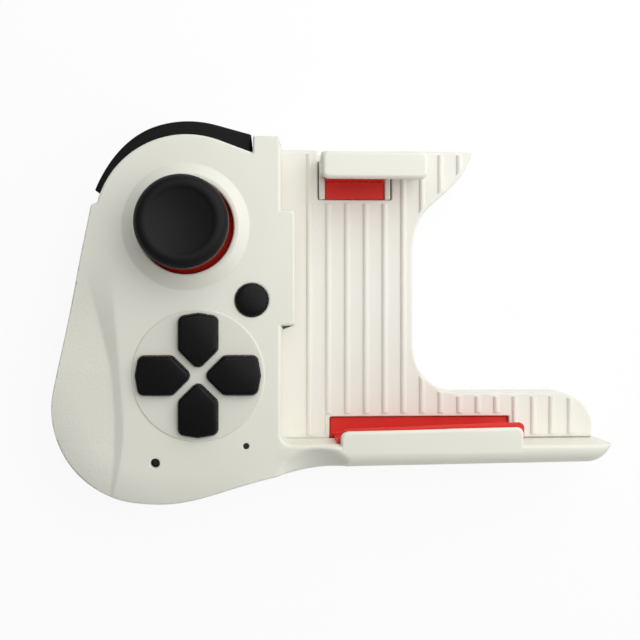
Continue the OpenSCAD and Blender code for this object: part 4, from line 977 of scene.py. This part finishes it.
triggerLine = (
    crownEdge(trigger["left"], grip["shoulder"], 40)
    + [pastTangent(crown, grip["crownRadius"], grip["shoulder"], trigger["end"]),
       pastTangent(roofHub, trigger["inner"], trigger["roofAngle"], trigger["end"])]
    + arc(roofHub, trigger["inner"], trigger["roofAngle"], trigger["left"], 40))[::-1]
triggerSoft = inset(triggerLine, trigger["soft"])
hinge = trigger["hinge"]


def triggerField(x, y, z):
    t = trigger
    plan = outlineDistance(triggerSoft, x, y) - t["soft"] + 0.01  # a hair inside the outline
    middle, half = (t["low"] + t["high"]) / 2, (t["high"] - t["low"]) / 2
    f = roundMax(plan, np.abs(z - middle) - half, 0.6)
    arm = [polar(crown, radius, angle) for radius, angle in t["arm"]]
    f = np.minimum(f, np.maximum(outlineDistance(arm, x, y), np.abs(z - t["armLevel"]) - t["armHalf"]))
    f = np.minimum(f, post(x, y, z, hinge, t["knuckle"], t["knuckleLow"], t["knuckleHigh"], 0.2))
    f = np.maximum(f, -post(x, y, z, hinge, t["pinHole"], 0, 30, 0.05))
    f = np.maximum(f, -post(x, y, z, hinge, t["springRoom"], t["knuckleHigh"], 40, 0.05))
    near, far = t["finger"]
    finger = bar(x, y, z, (*near, t["low"]), (*far, t["low"] + t["fingerTall"]), 0.2, 0.2)
    return np.minimum(f, finger)


dress(makePiece("trigger_lever", *skin(
    triggerField, *boxed(trigger["box"], trigger["low"], trigger["high"]), 0.34)),
      matteAbs, "trigger", "black_abs", "shoulder_trigger")

pin = {"radius": 1.0, "low": 3.0, "high": 19.4, "edge": 0.15}
pinLine = [(pin["radius"] - pin["edge"], pin["low"]), (pin["radius"], pin["low"] + pin["edge"]),
           (pin["radius"], pin["high"] - pin["edge"]), (pin["radius"] - pin["edge"], pin["high"])]
dress(makePiece("hinge_pin", *turned(pinLine, hinge, 48)), springSteel, "housing", "steel", "trigger_pin")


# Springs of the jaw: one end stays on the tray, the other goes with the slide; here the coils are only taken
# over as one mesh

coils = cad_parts["jaw_springs"]
wire = bmesh.new()
wire.from_mesh(coils.data)
wire.transform(coils.matrix_world)
bmesh.ops.remove_doubles(wire, verts=wire.verts, dist=0.001 * mm)
springMesh = bpy.data.meshes.new("stretch_springs")
wire.to_mesh(springMesh)
wire.free()
springMesh.materials.clear()
springMesh.materials.append(springSteel)
stretchSprings = bpy.data.objects.new("stretch_springs", springMesh)
bpy.context.collection.objects.link(stretchSprings)
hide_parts("jaw_springs")
between, level = sum(springs["places"]) / 2 * mm, springs["level"] * mm
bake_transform(stretchSprings)


# Nodes that keep their own shape

kept = {
    "main_board": solderMask, "key_board": solderMask, "board_screws": zincScrew, "battery": cellFoil,
    "flex_cable": flexFilm, "charge_socket": springSteel, "stick_base": springSteel,
    "stick_sensors": sensorNylon, "stick_click_switch": switchNylon, "stick_rocker": acetal,
    "stick_pivot": springSteel, "stick_bail": acetal, "stick_shaft": springSteel,
    "reset_switch": switchNylon, "status_led": ledLens, "light_pipe": smokeAcrylic,
    "trigger_spring": springSteel, "trigger_switch": switchNylon,
}
for name, material in kept.items():
    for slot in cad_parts[name].material_slots:
        slot.material = material
print("pieces done")


# Floor, light and camera

studio = {"floor": 0.6, "floorLevel": -0.0002, "sky": 0.55, "skyMean": 0.9, "skyTilt": (0.5, 0.05, -0.3),
          "keyPlace": (0.1, 0.1, 0.2), "keySize": 0.4, "keyPower": 0.62,
          "fillPlace": (-0.3, 0.05, 0.5), "fillSize": 0.5, "fillPower": 0.1, "paperGlow": 0.9,
          "lens": 50.625, "sensor": 36.0, "eye": (-0.0136, -0.0009, 0.2357), "eyeTilt": -2.9}

floorMesh = bpy.data.meshes.new("floor")
half = studio["floor"]
corners = [(u * half, v * half, studio["floorLevel"]) for u, v in ((-1, -1), (1, -1), (1, 1), (-1, 1))]
floorMesh.from_pydata(corners, [], [(0, 1, 2, 3)])
floor = bpy.data.objects.new("floor", floorMesh)
bpy.context.collection.objects.link(floor)
paper = bpy.data.materials.new("white paper sweep")  # matte, shows only the soft shadow
paper.use_nodes = True
tree = paper.node_tree
tree.nodes.clear()
rays = addNode(tree, "ShaderNodeLightPath").outputs
seen = rays["Is Camera Ray"]
for kind in ("Is Glossy Ray", "Is Transmission Ray"):
    seen = addNode(tree, "ShaderNodeMath", {0: seen, 1: rays[kind]}, operation="MAXIMUM").outputs[0]
share = addNode(tree, "ShaderNodeMath", {0: seen, 1: studio["paperGlow"]}, operation="MULTIPLY")
matte = addNode(tree, "ShaderNodeBsdfDiffuse", {"Color": linear("#F8F8F8")})
glow = addNode(tree, "ShaderNodeEmission", {"Color": (1, 1, 1, 1), "Strength": 1.0})
mixed = addNode(tree, "ShaderNodeMixShader", {0: share.outputs[0], 1: matte.outputs[0], 2: glow.outputs[0]})
addNode(tree, "ShaderNodeOutputMaterial", {"Surface": mixed.outputs[0]})
floorMesh.materials.append(paper)

world = bpy.data.worlds.new("studio")
bpy.context.scene.world = world
world.use_nodes = True
tree = world.node_tree
tree.nodes.clear()
rays = addNode(tree, "ShaderNodeLightPath").outputs
# brighter towards the right, darker overhead, as in a room with a window
way = addNode(tree, "ShaderNodeTexCoord").outputs["Generated"]
lift = addNode(tree, "ShaderNodeVectorMath", {0: way, 1: studio["skyTilt"]}, operation="DOT_PRODUCT")
glow = addNode(tree, "ShaderNodeMath", {0: lift.outputs["Value"], 1: studio["skyMean"]}, operation="ADD")
glow = addNode(tree, "ShaderNodeMath", {0: glow.outputs[0], 1: studio["sky"]}, operation="MULTIPLY")
level = addNode(tree, "ShaderNodeMapRange", {0: rays["Is Camera Ray"], 3: glow.outputs[0], 4: 1.0})
sky = addNode(tree, "ShaderNodeBackground", {"Color": (1, 1, 1, 1), "Strength": level.outputs[0]})
addNode(tree, "ShaderNodeOutputWorld", {"Surface": sky.outputs[0]})

for name in ("key", "fill"):
    lamp = bpy.data.lights.new(name + "_softbox", "AREA")
    lamp.shape = "DISK"
    lamp.size = studio[name + "Size"]
    lamp.energy = studio[name + "Power"]
    box = bpy.data.objects.new(name + "_softbox", lamp)
    bpy.context.collection.objects.link(box)
    at = np.array(studio[name + "Place"])
    box.location = at
    flat = math.hypot(at[0], at[1])
    box.rotation_euler = (0, math.atan2(flat, at[2]), math.atan2(at[1], at[0]))

view = bpy.data.cameras.new("camera")
view.lens, view.sensor_width = studio["lens"], studio["sensor"]
camera = bpy.data.objects.new("camera", view)
bpy.context.collection.objects.link(camera)
camera.location = studio["eye"]
camera.rotation_euler = (0, math.radians(studio["eyeTilt"]), 0)
bpy.context.scene.camera = camera
bpy.context.scene.view_settings.view_transform = "Standard"
